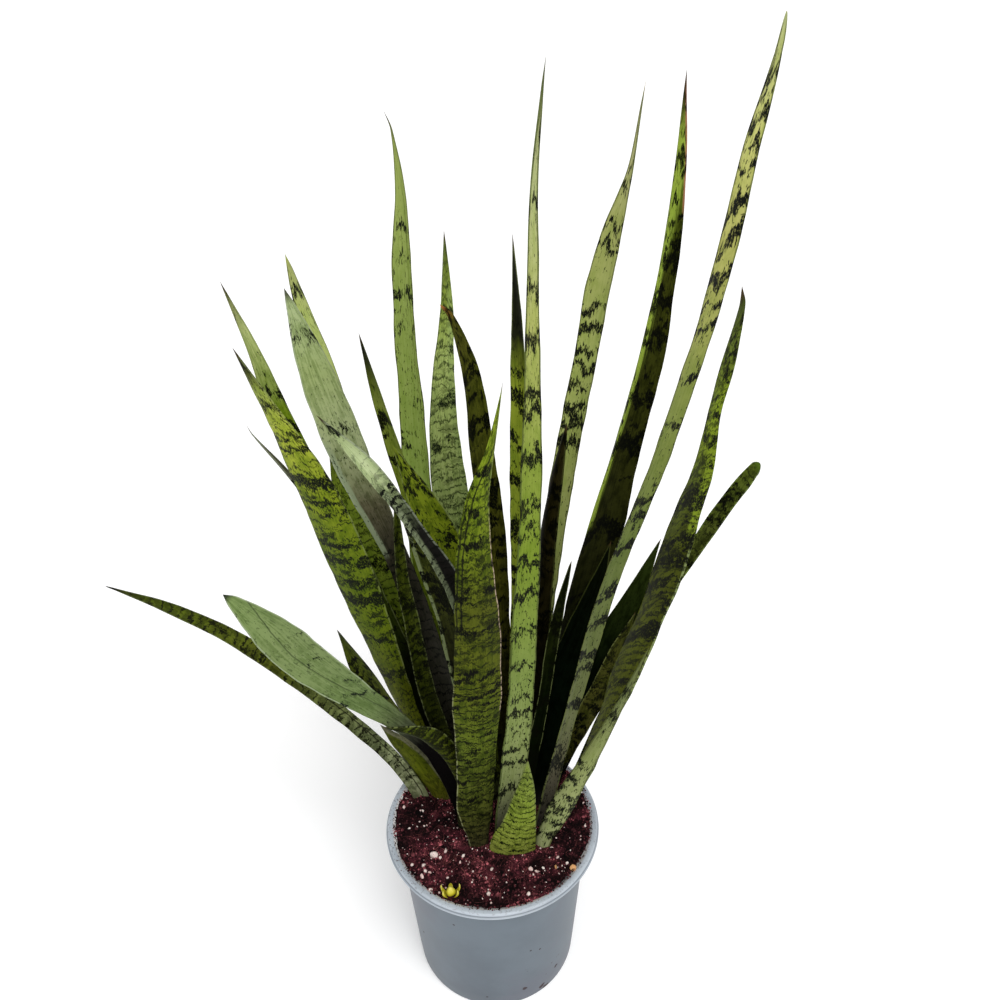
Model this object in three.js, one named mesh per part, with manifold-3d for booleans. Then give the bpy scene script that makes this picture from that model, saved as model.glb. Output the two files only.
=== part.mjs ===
// A potted silver princess snake plant: a nursery pot filled with potting soil, and the upright
// sword leaves that stand in it. Millimetres, +Z up, origin at the centre of the pot's underside.
import * as THREE from "three";
import { mergeVertices } from "three/addons/utils/BufferGeometryUtils.js";
import Module from "manifold-3d";

const wasm = await Module();
wasm.setup();

// Pot: a 21 cm nursery pot with a rolled rim over a tapering wall, and drain holes in a ring.
const POT_HEIGHT = 193;
const RIM_RADIUS = 106;
const RIM_WIDTH = 7.5;
const RIM_DEPTH = 6;
const BEAD_HEIGHT = 2;
const NECK_RADIUS = 94;
const BASE_RADIUS = 83;
const BASE_ROUNDING = 3;
const WALL = 2;
const FLOOR = 2.5;
const POT_SIDES = 48;
const DRAIN_COUNT = 8;
const DRAIN_RADIUS = 6;
const DRAIN_RING = 54;
const DRAIN_SIDES = 12;

// Soil: fills the pot to a little under the rim, heaped towards the back on the right.
const SOIL_TOP = 188;
const SOIL_GAP = 0.3;
const SOIL_HEAP = 5;
const SOIL_BRIM = 3.5;
const SOIL_CRUMB = 1.5;
const SOIL_RINGS = 8;
const SOIL_SIDES = 40;

// Leaves: thick blades with blunt margins and a shallow channel along the inner face.
const FOOT_DEPTH = 12;
const HOLE_CLEARANCE = 0.4;
const HOLE_REACH = 12;
const FOOT_THICKNESS = 5;
const BLADE_THICKNESS = 2.6;
const TIP_THICKNESS = 1.2;
const MARGIN_SHARE = 0.34;
const RING_SPACING = 52;
const LAST_RING = 0.975;
const ACROSS = [-1, -0.6, 0, 0.6, 1];
const WAVES_PER_LEAF = 3.5;

// Shoot: a small yellow bud near the rim, its bracts open round an oval heart.
const SHOOT_PLACE = [-42, -78, 188.5];
const SHOOT_DEPTH = 4;
const SHOOT_STEM_RADIUS = 1.6;
const SHOOT_BASE_RADIUS = 4.4;
const SHOOT_BASE_HEIGHT = 2.8;
const SHOOT_HOLLOW_RADIUS = 4.2;
const SHOOT_HOLLOW_MOUTH = 8.5;
const BRACT_COUNT = 5;
const BRACT_THICKNESS = 1.1;
const BRACT_STATIONS = [[1.5, 0, 3], [5.2, 3, 5.5], [7.2, 8, 5], [8.1, 11.5, 2.6]];
const BRACT_TIP = [8.4, 13.5];
const SHOOT_DETAIL = 0.03;
const HEART_RADIUS = 3.2;
const HEART_HEIGHT = 6;

// Leaf colours as they show under soft light.
const SILVER = 0x92a585;
const PALE = 0x9aab5c;
const GREEN = 0x7f9a3c;
const BANDED = 0x66761f;
const DARK = 0x3a4716;

// Each leaf has its foot on the soil [x, y, width], points on its midrib with the blade's width
// there [x, y, z, width], and its tip [x, y, z]. face is the compass turn of the inner face in
// degrees, 0 towards -Y and 90 towards +X; turn is added to it on the way to the tip. lift tilts
// the inner face up. cup is the depth of the channel as a share of half the width.
const LEAVES = [
  { name: "leaf_far_left", foot: [-73, 37, 15], tip: [-343, 80, 447], face: 0, lift: 30, cup: 0.5,
    points: [[-99, 46, 241, 14], [-179, 60, 336, 16], [-229, 66, 386, 16], [-296, 74, 428, 9]],
    color: BANDED },
  { name: "leaf_silver_low", foot: [-30, 16, 14], tip: [-192, -62, 545], face: 0, lift: 25,
    points: [[-57, 12, 288, 14], [-95, -1, 353, 20], [-126, -16, 404, 33], [-151, -31, 452, 38],
      [-167, -46, 497, 32], [-179, -56, 525, 23]],
    color: SILVER },
  { name: "leaf_low_curl", foot: [-27, -5, 15], tip: [-92, -35, 369], face: 170, cup: 0.4,
    points: [[-24, -7, 254, 18], [-45, -14, 320, 22], [-62, -20, 343, 21]],
    color: BANDED },
  { name: "leaf_low_olive", foot: [-51, 34, 24], tip: [-107, 51, 281], face: 165, cup: 0.35,
    points: [[-61, 38, 208, 30], [-70, 41, 226, 32], [-85, 44, 252, 26]],
    color: BANDED },
  { name: "leaf_left_spear", foot: [-53, 59, 14], tip: [-145, 102, 363], face: -23, turn: -25,
    points: [[-63, 66, 221, 23], [-105, 80, 292, 25], [-123, 90, 321, 36]],
    color: DARK },
  { name: "leaf_left_front", foot: [-49, 49, 20], tip: [-151, -61, 740], face: 169, turn: -10, cup: 0.25,
    points: [[-74, 50, 283, 18], [-95, 30, 409, 31], [-111, 7, 518, 40], [-124, -19, 613, 32],
      [-139, -41, 683, 14]],
    color: GREEN },
  { name: "leaf_left_back", foot: [-33, 57, 20], tip: [-180, 50, 742], face: 23, turn: 25,
    points: [[-106, 72, 423, 31], [-127, 68, 503, 32], [-155, 60, 617, 21], [-166, 54, 684, 10]],
    color: GREEN },
  { name: "leaf_left_wisp", foot: [4, 74, 12], tip: [-208, 152, 569], face: 16, turn: 29,
    points: [[-58, 99, 277, 11], [-110, 119, 397, 11], [-169, 139, 513, 5], [-197, 147, 548, 2]],
    color: DARK },
  { name: "leaf_left_shade", foot: [-36, 65, 20], tip: [-130, 118, 579], face: 16, turn: 20,
    points: [[-75, 89, 344, 26], [-92, 96, 408, 29], [-109, 104, 474, 32], [-122, 112, 525, 22]],
    color: GREEN },
  { name: "leaf_silver_tall", foot: [-12, 45, 18], tip: [-128, 13, 749], face: -1, turn: -10, cup: 0.35,
    points: [[-36, 49, 311, 20], [-60, 46, 435, 22], [-75, 42, 507, 21], [-94, 38, 574, 31],
      [-108, 29, 644, 32], [-119, 21, 703, 23]],
    color: SILVER },
  { name: "leaf_silver_back", foot: [24, 67, 18], tip: [-152, 162, 722], face: -26, turn: -20,
    points: [[-59, 109, 363, 25], [-100, 129, 507, 28], [-127, 145, 621, 33], [-142, 155, 684, 24]],
    color: PALE },
  { name: "leaf_silver_fold", foot: [-8, -2, 17], tip: [-103, -74, 697], face: 26, turn: 12, cup: 0.7,
    points: [[-9, -6, 379, 17], [-23, -21, 504, 17], [-47, -34, 572, 10], [-77, -55, 645, 12]],
    color: SILVER },
  { name: "leaf_dark_horn", foot: [0, 50, 18], tip: [-86, 56, 696], face: -30, turn: -18,
    points: [[-47, 64, 426, 22], [-60, 60, 550, 18], [-71, 58, 614, 19], [-82, 56, 673, 7]],
    color: DARK },
  { name: "leaf_green_mid", foot: [1, 27, 20], tip: [-64, 7, 625], face: 17, turn: 13, cup: 0.35,
    points: [[-6, 30, 289, 24], [-17, 26, 444, 32], [-36, 18, 534, 31], [-52, 11, 586, 18]],
    color: BANDED },
  { name: "leaf_tall_left", foot: [-15, 68, 20], tip: [-63, 186, 827], face: -17, turn: -22,
    points: [[-51, 99, 397, 27], [-54, 128, 559, 28], [-56, 147, 684, 20], [-54, 159, 731, 18],
      [-53, 168, 764, 12], [-51, 176, 791, 5]],
    color: GREEN },
  { name: "leaf_tall_silver", foot: [16, 61, 20], tip: [-19, 120, 751], face: 13, turn: 14,
    points: [[4, 65, 255, 23], [-26, 93, 516, 34], [-28, 103, 611, 23], [-20, 114, 696, 10]],
    color: SILVER },
  { name: "leaf_dark_curl", foot: [12, 39, 22], tip: [-24, 50, 718], face: 35, turn: 18,
    points: [[12, 49, 309, 30], [8, 52, 505, 31], [-1, 54, 618, 28], [-6, 54, 670, 16],
      [-15, 54, 704, 7]],
    color: DARK },
  { name: "leaf_front", foot: [-14, -26, 17], tip: [15, -110, 734], face: 190, turn: 9, cup: 0.2,
    points: [[-16, -29, 238, 33], [-12, -29, 314, 36], [-9, -36, 398, 43], [-6, -48, 476, 38],
      [-6, -66, 583, 25], [-2, -77, 629, 17], [5, -85, 664, 8], [10, -93, 691, 3]],
    color: BANDED },
  { name: "leaf_dark_slim", foot: [20, 22, 18], tip: [30, 42, 772], face: -28, turn: -25,
    points: [[35, 36, 444, 22], [35, 38, 588, 23], [34, 40, 692, 14]],
    color: GREEN },
  { name: "leaf_tall_mid", foot: [11, -12, 19], tip: [41, -90, 906], face: 13, turn: 23, cup: 0.4,
    points: [[23, -9, 302, 26], [33, -25, 506, 22], [36, -46, 671, 15], [36, -76, 845, 5]],
    color: PALE },
  { name: "leaf_short_front", foot: [18, -36, 44], tip: [33, -41, 325], face: 175, cup: 0.3,
    points: [[24, -37, 223, 33], [29, -38, 260, 23], [32, -39, 297, 11]],
    color: PALE },
  { name: "leaf_tall_right", foot: [29, 51, 20], tip: [141, 166, 847], face: -9, turn: -26,
    points: [[47, 72, 338, 24], [74, 99, 523, 21], [103, 130, 675, 19], [109, 139, 717, 29],
      [119, 143, 742, 12], [128, 150, 772, 6]],
    color: PALE },
  { name: "leaf_shade_slim", foot: [29, 37, 16], tip: [73, 57, 609], face: 147, turn: -23,
    points: [[51, 50, 408, 20], [60, 54, 527, 18], [69, 56, 585, 10]],
    color: DARK },
  { name: "leaf_tall_dark", foot: [55, 55, 22], tip: [170, 158, 855], face: 26, turn: 20, cup: 0.5,
    points: [[76, 79, 329, 34], [108, 94, 469, 52], [126, 105, 548, 38], [152, 124, 658, 32],
      [166, 144, 776, 16]],
    color: DARK },
  { name: "leaf_tallest", foot: [49, -6, 14], tip: [149, -128, 927], face: 14, turn: 26,
    points: [[76, -14, 369, 14], [99, -34, 519, 18], [125, -57, 649, 16], [141, -84, 768, 19],
      [145, -106, 857, 16], [149, -121, 905, 7]],
    color: PALE },
  { name: "leaf_right_front", foot: [79, 15, 14], tip: [165, -62, 768], face: 14, turn: 20, cup: 0.35,
    points: [[115, 6, 346, 27], [126, -1, 408, 37], [139, -9, 465, 34], [145, -17, 517, 36],
      [153, -25, 567, 30], [159, -32, 607, 26], [162, -38, 645, 15], [161, -46, 689, 14],
      [169, -55, 732, 14]],
    color: BANDED },
  { name: "leaf_right_back", foot: [81, 26, 11], tip: [273, 157, 500], face: -15, turn: -27,
    points: [[128, 63, 300, 10], [180, 100, 395, 12], [228, 129, 455, 15], [257, 149, 491, 16],
      [270, 155, 497, 11]],
    color: DARK },
  { name: "leaf_pale_right", foot: [47, -31, 14], tip: [128, -64, 477], face: 159, turn: -21, cup: 0.35,
    points: [[65, -33, 249, 22], [81, -35, 295, 15], [101, -43, 360, 10]],
    color: PALE },
  { name: "leaf_small_spear", foot: [31, 14, 14], tip: [77, 35, 487], face: 15, turn: 27,
    points: [[52, 28, 327, 14], [65, 32, 434, 14], [72, 34, 466, 9]],
    color: BANDED },
  { name: "leaf_broad_dark", foot: [44, 18, 24], tip: [113, 50, 495], face: 165,
    points: [[61, 30, 269, 32], [76, 40, 353, 36], [93, 44, 411, 27]],
    color: DARK },
  { name: "leaf_right_dark", foot: [61, 41, 18], tip: [171, 108, 452], face: 17, turn: 22,
    points: [[104, 69, 296, 38], [118, 80, 338, 44], [138, 91, 386, 44]],
    color: DARK },
  { name: "leaf_olive_slim", foot: [52, 30, 15], tip: [140, 54, 409], face: -12, turn: -22,
    points: [[82, 38, 263, 19], [102, 44, 301, 19], [125, 50, 366, 14]],
    color: BANDED },
  { name: "leaf_mid_slim", foot: [-26, 32, 14], tip: [-69, 26, 576], face: 13, turn: 25,
    points: [[-57, 34, 342, 16], [-65, 31, 432, 14], [-70, 28, 501, 11], [-67, 27, 548, 6]],
    color: BANDED },
  { name: "leaf_mid_dark", foot: [-10, 14, 18], tip: [-67, 2, 586], face: -24, turn: -17,
    points: [[-21, 17, 366, 23], [-39, 10, 488, 24], [-51, 4, 543, 19]],
    color: DARK },
];

const object = new THREE.Group();

function addMesh(name, geometry, color, roughness) {
  const material = new THREE.MeshStandardMaterial({ color, roughness, metalness: 0 });
  const mesh = new THREE.Mesh(geometry, material);
  mesh.name = name;
  object.add(mesh);
}

function toSolid(geometry) {
  const bare = geometry.clone();
  bare.deleteAttribute("normal");
  bare.deleteAttribute("uv");
  const merged = mergeVertices(bare, 1e-4);
  const vertProperties = new Float32Array(merged.attributes.position.array);
  const triVerts = new Uint32Array(merged.index.array);
  return new wasm.Manifold(new wasm.Mesh({ numProp: 3, vertProperties, triVerts }));
}

function toGeometry(solid) {
  const mesh = solid.getMesh();
  const geometry = new THREE.BufferGeometry();
  geometry.setAttribute("position", new THREE.BufferAttribute(mesh.vertProperties, 3));
  geometry.setIndex(new THREE.BufferAttribute(mesh.triVerts, 1));
  geometry.computeVertexNormals();
  return geometry;
}

function meshOf(vertices, triangles) {
  const geometry = new THREE.BufferGeometry();
  geometry.setAttribute("position", new THREE.Float32BufferAttribute(vertices.flat(), 3));
  geometry.setIndex(triangles.flat());
  geometry.computeVertexNormals();
  return geometry;
}

// Leaf geometry

function compassDirection(degrees, liftDegrees) {
  const turn = THREE.MathUtils.degToRad(degrees);
  const lift = THREE.MathUtils.degToRad(liftDegrees);
  const level = Math.cos(lift);
  return new THREE.Vector3(Math.sin(turn) * level, -Math.cos(turn) * level, Math.sin(lift));
}

// The midrib runs straight out of the soil, so that the foot and its hole share one line.
function midribOf(leaf) {
  const foot = new THREE.Vector3(leaf.foot[0], leaf.foot[1], SOIL_TOP);
  const next = new THREE.Vector3(...leaf.points[0].slice(0, 3));
  const rise = next.clone().sub(foot).normalize().add(new THREE.Vector3(0, 0, 1)).normalize();
  const root = foot.clone().addScaledVector(rise, -FOOT_DEPTH);
  const collar = foot.clone().addScaledVector(rise, HOLE_REACH);
  const upper = leaf.points.map((point) => new THREE.Vector3(point[0], point[1], point[2]));
  const stations = [root, foot, collar, ...upper, new THREE.Vector3(...leaf.tip)];
  const footWidth = leaf.foot[2];
  const collarWidth = THREE.MathUtils.lerp(footWidth, leaf.points[0][3], 0.15);
  const widths = [footWidth, footWidth, collarWidth, ...leaf.points.map((point) => point[3]), 0];
  return { curve: new THREE.CatmullRomCurve3(stations, false, "centripetal"), widths };
}

function widthAt(widths, station) {
  const place = Math.min(station * (widths.length - 1), widths.length - 1);
  const index = Math.min(Math.floor(place), widths.length - 2);
  return THREE.MathUtils.lerp(widths[index], widths[index + 1], place - index);
}

function thicknessAt(along) {
  if (along < 0.25) {
    return THREE.MathUtils.lerp(FOOT_THICKNESS, BLADE_THICKNESS, along / 0.25);
  }
  return THREE.MathUtils.lerp(BLADE_THICKNESS, TIP_THICKNESS, (along - 0.25) / 0.75);
}

// One cross-section: the inner face's vertices and the outer face's, from margin to margin.
function bladeRing(leaf, midrib, along, grow) {
  const station = midrib.curve.getUtoTmapping(along);
  const centre = midrib.curve.getPoint(station);
  const tangent = midrib.curve.getTangent(station);
  const inner = compassDirection(leaf.face + (leaf.turn ?? 0) * along, leaf.lift ?? 0);
  inner.addScaledVector(tangent, -inner.dot(tangent)).normalize();
  const sideways = new THREE.Vector3().crossVectors(tangent, inner);
  const halfWidth = widthAt(midrib.widths, station) / 2;
  const thickness = Math.min(thicknessAt(along), halfWidth * 1.6);
  const cup = (leaf.cup ?? 0.3) * halfWidth * Math.min(1, 0.4 + along * 4);
  const wave = (leaf.wave ?? 0.05) * halfWidth * Math.min(1, along * 4);
  const innerFace = [];
  const outerFace = [];
  for (const across of ACROSS) {
    const depth = thickness * (1 - (1 - MARGIN_SHARE) * across * across) / 2 + grow;
    const ripple = wave * across * Math.sin(2 * Math.PI * WAVES_PER_LEAF * along + across);
    const rise = cup * (across * across - 0.35) + ripple;
    const middle = centre.clone();
    middle.addScaledVector(sideways, across * (halfWidth + grow)).addScaledVector(inner, rise);
    innerFace.push(middle.clone().addScaledVector(inner, depth).toArray());
    outerFace.push(middle.clone().addScaledVector(inner, -depth).toArray());
  }
  const middle = Math.floor(ACROSS.length / 2);
  const front = new THREE.Vector3(...innerFace[middle]);
  const back = new THREE.Vector3(...outerFace[middle]);
  return { centre: front.lerp(back, 0.5), innerFace, outerFace };
}

// Rings of ten vertices joined by triangles that are split alike on both faces.
function loftRings(rings, start, end) {
  const columns = ACROSS.length;
  const ringSize = 2 * columns;
  const vertices = [];
  for (const ring of rings) {
    vertices.push(...ring.innerFace, ...ring.outerFace);
  }
  const innerVertex = (row, column) => row * ringSize + column;
  const outerVertex = (row, column) => row * ringSize + columns + column;
  const outline = [];
  for (let column = 0; column < columns; column++) {
    outline.push((row) => innerVertex(row, column));
  }
  for (let column = columns - 1; column >= 0; column--) {
    outline.push((row) => outerVertex(row, column));
  }
  const triangles = [];
  for (let row = 0; row < rings.length - 1; row++) {
    outline.forEach((corner, index) => {
      const following = outline[(index + 1) % outline.length];
      const [a, b, c, d] = [corner(row), following(row), following(row + 1), corner(row + 1)];
      if (index < columns) {
        triangles.push([a, b, c], [a, c, d]);
      } else {
        triangles.push([a, b, d], [b, c, d]);
      }
    });
  }
  const startVertex = vertices.push(start) - 1;
  const endVertex = vertices.push(end) - 1;
  const last = rings.length - 1;
  outline.forEach((corner, index) => {
    const following = outline[(index + 1) % outline.length];
    triangles.push([following(0), corner(0), startVertex]);
    triangles.push([corner(last), following(last), endVertex]);
  });
  return meshOf(vertices, triangles);
}

function leafGeometry(leaf) {
  const midrib = midribOf(leaf);
  const length = midrib.curve.getLength();
  const collar = (FOOT_DEPTH + HOLE_REACH) / length;
  const ringCount = Math.max(5, Math.round(length / RING_SPACING) + 1);
  const rings = [bladeRing(leaf, midrib, 0, 0)];
  for (let ring = 0; ring < ringCount; ring++) {
    const along = THREE.MathUtils.lerp(collar, LAST_RING, ring / (ringCount - 1));
    rings.push(bladeRing(leaf, midrib, along, 0));
  }
  return loftRings(rings, rings[0].centre.toArray(), leaf.tip);
}

// The hole that a leaf stands in: the leaf's own foot, a little larger all round.
function footHole(leaf) {
  const midrib = midribOf(leaf);
  const length = midrib.curve.getLength();
  const collar = (FOOT_DEPTH + HOLE_REACH) / length;
  const root = bladeRing(leaf, midrib, 0, HOLE_CLEARANCE);
  const mouth = bladeRing(leaf, midrib, collar, HOLE_CLEARANCE);
  const down = root.centre.clone().sub(mouth.centre).normalize();
  root.innerFace = root.innerFace.map((vertex) => shifted(vertex, down, HOLE_CLEARANCE));
  root.outerFace = root.outerFace.map((vertex) => shifted(vertex, down, HOLE_CLEARANCE));
  const floor = shifted(root.centre.toArray(), down, HOLE_CLEARANCE);
  return toSolid(loftRings([root, mouth], floor, mouth.centre.toArray()));
}

function shifted(vertex, direction, distance) {
  return new THREE.Vector3(...vertex).addScaledVector(direction, distance).toArray();
}

// Shoot

// A cone or cylinder on the shoot's own axis, from one height above its place to another.
function coneOnShoot(lowRadius, highRadius, low, high) {
  const cone = new THREE.CylinderGeometry(highRadius, lowRadius, high - low, 12);
  cone.rotateX(Math.PI / 2);
  cone.translate(SHOOT_PLACE[0], SHOOT_PLACE[1], SHOOT_PLACE[2] + (low + high) / 2);
  return toSolid(cone);
}

// An upright oval body on the shoot's axis.
function ovalOnShoot(radius, halfHeight, height) {
  const oval = new THREE.SphereGeometry(1, 10, 6);
  oval.rotateX(Math.PI / 2);
  oval.scale(radius, radius, halfHeight);
  oval.translate(SHOOT_PLACE[0], SHOOT_PLACE[1], SHOOT_PLACE[2] + height);
  return toSolid(oval);
}

function bractSolid(turn) {
  const base = new THREE.Vector3(...SHOOT_PLACE);
  const outward = compassDirection(turn, 0);
  const sideways = compassDirection(turn - 90, 0);
  const rings = BRACT_STATIONS.map(([reach, height, width]) => {
    const centre = base.clone().addScaledVector(outward, reach);
    centre.z += height;
    const row = (side) => ACROSS.map((across) => {
      const inset = side * BRACT_THICKNESS * (1 - 0.6 * across * across) / 2;
      const point = centre.clone().addScaledVector(sideways, (across * width) / 2);
      return point.addScaledVector(outward, -inset - 0.8 * across * across).toArray();
    });
    return { centre, innerFace: row(1), outerFace: row(-1) };
  });
  const tip = base.clone().addScaledVector(outward, BRACT_TIP[0]);
  tip.z += BRACT_TIP[1];
  return toSolid(loftRings(rings, rings[0].centre.toArray(), tip.toArray()));
}

function shootGeometry() {
  let solid = coneOnShoot(SHOOT_STEM_RADIUS, SHOOT_STEM_RADIUS, -SHOOT_DEPTH, 2);
  solid = solid.add(ovalOnShoot(HEART_RADIUS, HEART_HEIGHT, HEART_HEIGHT - 0.5));
  solid = solid.add(ovalOnShoot(SHOOT_BASE_RADIUS, SHOOT_BASE_HEIGHT, 2.4));
  for (let bract = 0; bract < BRACT_COUNT; bract++) {
    solid = solid.add(bractSolid(18 + (360 * bract) / BRACT_COUNT));
  }
  const closedBodies = solid.simplify(SHOOT_DETAIL).decompose();
  closedBodies.sort((first, second) => second.volume() - first.volume());
  return toGeometry(closedBodies[0]);
}

function shootHole() {
  const stemRadius = SHOOT_STEM_RADIUS + HOLE_CLEARANCE;
  const stem = coneOnShoot(stemRadius, stemRadius, -SHOOT_DEPTH - HOLE_CLEARANCE, HOLE_REACH);
  const hollow = coneOnShoot(SHOOT_HOLLOW_RADIUS, SHOOT_HOLLOW_MOUTH, -2 * HOLE_CLEARANCE - 0.4, 5);
  return stem.add(hollow);
}

// Pot

// The outside of the wall, from the base up to the neck under the rim.
function wallRadius(height) {
  return THREE.MathUtils.lerp(BASE_RADIUS, NECK_RADIUS, height / (POT_HEIGHT - RIM_DEPTH));
}

// The inside of the pot, which widens from the neck to the rim's inner edge.
function insideRadius(height) {
  const neck = POT_HEIGHT - RIM_DEPTH;
  if (height < neck) {
    return wallRadius(height) - WALL;
  }
  const share = Math.min(1, (height - neck) / (POT_HEIGHT - 1 - neck));
  return THREE.MathUtils.lerp(NECK_RADIUS - WALL, RIM_RADIUS - RIM_WIDTH, share);
}

function potGeometry() {
  const rimBottom = POT_HEIGHT - RIM_DEPTH;
  const beadTop = rimBottom + BEAD_HEIGHT;
  const profile = [
    [0, 0],
    [BASE_RADIUS - BASE_ROUNDING, 0],
    [BASE_RADIUS, BASE_ROUNDING],
    [wallRadius(rimBottom), rimBottom],
    [RIM_RADIUS - 0.8, rimBottom],
    [RIM_RADIUS, rimBottom + 0.8],
    [RIM_RADIUS, beadTop - 0.4],
    [RIM_RADIUS - 1, beadTop + 0.2],
    [RIM_RADIUS - 1.6, POT_HEIGHT - 1],
    [RIM_RADIUS - 3, POT_HEIGHT],
    [RIM_RADIUS - RIM_WIDTH + 1.5, POT_HEIGHT],
    [RIM_RADIUS - RIM_WIDTH, POT_HEIGHT - 1],
    [insideRadius(rimBottom), rimBottom],
    [BASE_RADIUS + 1 - WALL, FLOOR + 2],
    [BASE_RADIUS - 1 - WALL, FLOOR],
    [0, FLOOR],
  ].map(([radius, height]) => new THREE.Vector2(radius, height));
  const shell = new THREE.LatheGeometry(profile, POT_SIDES);
  shell.rotateX(Math.PI / 2);
  let solid = toSolid(shell);
  for (let hole = 0; hole < DRAIN_COUNT; hole++) {
    const angle = (2 * Math.PI * (hole + 0.5)) / DRAIN_COUNT;
    const drain = new THREE.CylinderGeometry(DRAIN_RADIUS, DRAIN_RADIUS, 3 * FLOOR, DRAIN_SIDES);
    drain.rotateX(Math.PI / 2);
    drain.translate(DRAIN_RING * Math.cos(angle), DRAIN_RING * Math.sin(angle), FLOOR / 2);
    solid = solid.subtract(toSolid(drain));
  }
  return toGeometry(solid);
}

// Soil

// A fixed pseudo-random value from 0 to 1 for a pair of whole numbers.
function crumbValue(column, row) {
  const mixed = Math.sin(column * 127.1 + row * 311.7) * 43758.5453;
  return mixed - Math.floor(mixed);
}

function soilHeight(x, y, ring, side) {
  const heap = SOIL_HEAP * Math.max(0, (x + 0.4 * y) / RIM_RADIUS);
  const brim = SOIL_BRIM * (ring / SOIL_RINGS) ** 4;
  return SOIL_TOP + heap + brim + SOIL_CRUMB * (crumbValue(side, ring) - 0.5) * 2;
}

function soilGeometry() {
  const sideRadius = (height) => insideRadius(height) - SOIL_GAP - 0.3;
  const topRadius = sideRadius(SOIL_TOP + SOIL_BRIM - SOIL_CRUMB);
  const bottom = FLOOR + SOIL_GAP;
  const vertices = [[0, 0, SOIL_TOP]];
  const triangles = [];
  const at = (ring, side) => 1 + (ring - 1) * SOIL_SIDES + (side % SOIL_SIDES);
  for (let ring = 1; ring <= SOIL_RINGS; ring++) {
    const radius = topRadius * (ring / SOIL_RINGS) ** 0.7;
    for (let side = 0; side < SOIL_SIDES; side++) {
      const angle = (2 * Math.PI * (side + 0.5 * (ring % 2))) / SOIL_SIDES;
      const x = radius * Math.cos(angle);
      const y = radius * Math.sin(angle);
      vertices.push([x, y, soilHeight(x, y, ring, side)]);
    }
  }
  for (let side = 0; side < SOIL_SIDES; side++) {
    triangles.push([0, at(1, side), at(1, side + 1)]);
  }
  for (let ring = 1; ring < SOIL_RINGS; ring++) {
    const lead = ring % 2;
    for (let side = 0; side < SOIL_SIDES; side++) {
      const [a, b] = [at(ring, side), at(ring, side + 1)];
      const [c, d] = [at(ring + 1, side), at(ring + 1, side + 1)];
      if (lead) {
        triangles.push([a, c, d], [a, d, b]);
      } else {
        triangles.push([a, c, b], [b, c, d]);
      }
    }
  }
  const neck = POT_HEIGHT - RIM_DEPTH;
  const footRadius = sideRadius(bottom + 2);
  const lowerRings = [[sideRadius(neck), neck], [footRadius, bottom + 2], [footRadius - 2, bottom]];
  let above = at(SOIL_RINGS, 0);
  for (const [radius, height] of lowerRings) {
    const below = vertices.length;
    for (let side = 0; side < SOIL_SIDES; side++) {
      const angle = (2 * Math.PI * (side + 0.5 * (SOIL_RINGS % 2))) / SOIL_SIDES;
      const following = (side + 1) % SOIL_SIDES;
      vertices.push([radius * Math.cos(angle), radius * Math.sin(angle), height]);
      triangles.push([above + side, below + side, below + following]);
      triangles.push([above + side, below + following, above + following]);
    }
    above = below;
  }
  const centre = vertices.push([0, 0, bottom]) - 1;
  for (let side = 0; side < SOIL_SIDES; side++) {
    triangles.push([above + side, centre, above + ((side + 1) % SOIL_SIDES)]);
  }
  let solid = toSolid(meshOf(vertices, triangles));
  for (const leaf of LEAVES) {
    solid = solid.subtract(footHole(leaf));
  }
  solid = solid.subtract(shootHole());
  return toGeometry(solid);
}

addMesh("pot", potGeometry(), 0x8794a3, 0.5);
addMesh("soil", soilGeometry(), 0x5a2226, 0.95);
addMesh("yellow_shoot", shootGeometry(), 0xd6cc58, 0.5);
for (const leaf of LEAVES) {
  addMesh(leaf.name, leafGeometry(leaf), leaf.color, 0.45);
}

export default object;
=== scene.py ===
import math
import random
from types import SimpleNamespace

import bmesh
import bpy
import numpy as np
from mathutils import Matrix, Vector, noise


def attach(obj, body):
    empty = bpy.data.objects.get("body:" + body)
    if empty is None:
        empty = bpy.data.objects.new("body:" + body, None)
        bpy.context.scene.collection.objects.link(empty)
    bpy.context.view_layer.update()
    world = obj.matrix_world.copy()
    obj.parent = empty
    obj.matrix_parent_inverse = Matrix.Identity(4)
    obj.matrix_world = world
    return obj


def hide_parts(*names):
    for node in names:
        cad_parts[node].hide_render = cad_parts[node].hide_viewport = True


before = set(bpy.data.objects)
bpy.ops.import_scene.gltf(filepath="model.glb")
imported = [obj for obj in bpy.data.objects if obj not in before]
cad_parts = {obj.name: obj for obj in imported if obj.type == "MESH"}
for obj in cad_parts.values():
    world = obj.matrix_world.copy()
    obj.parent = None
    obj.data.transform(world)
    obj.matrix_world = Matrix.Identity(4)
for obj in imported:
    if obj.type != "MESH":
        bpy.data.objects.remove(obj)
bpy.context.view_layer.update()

MM = 0.001
scene = bpy.context.scene
scene.view_settings.view_transform = "Standard"

# ---- sizes in millimetres, the same as the solids have

POT_HEIGHT = 193
RIM_RADIUS = 106
RIM_WIDTH = 7.5
RIM_DEPTH = 6
BEAD_HEIGHT = 2
NECK_RADIUS = 94
BASE_RADIUS = 83
WALL = 2
FLOOR = 2.5
DRAIN_COUNT = 8
DRAIN_RADIUS = 6
DRAIN_RING = 54
SOIL_TOP = 188
SOIL_HEAP = 5
SOIL_BRIM = 3.5
SHOOT_PLACE = Vector((-42, -78, 188.5))
RIM_BOTTOM = POT_HEIGHT - RIM_DEPTH

# ---- camera: the photograph's place, looking down across the pot

CAMERA_PLACE = (-0.006, -0.612, 0.986)
CAMERA_PITCH = math.radians(33.8)
CAMERA_ROLL = math.radians(-1.39)
CAMERA_YAW = math.radians(2.0)
LENS = 34.2


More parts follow.
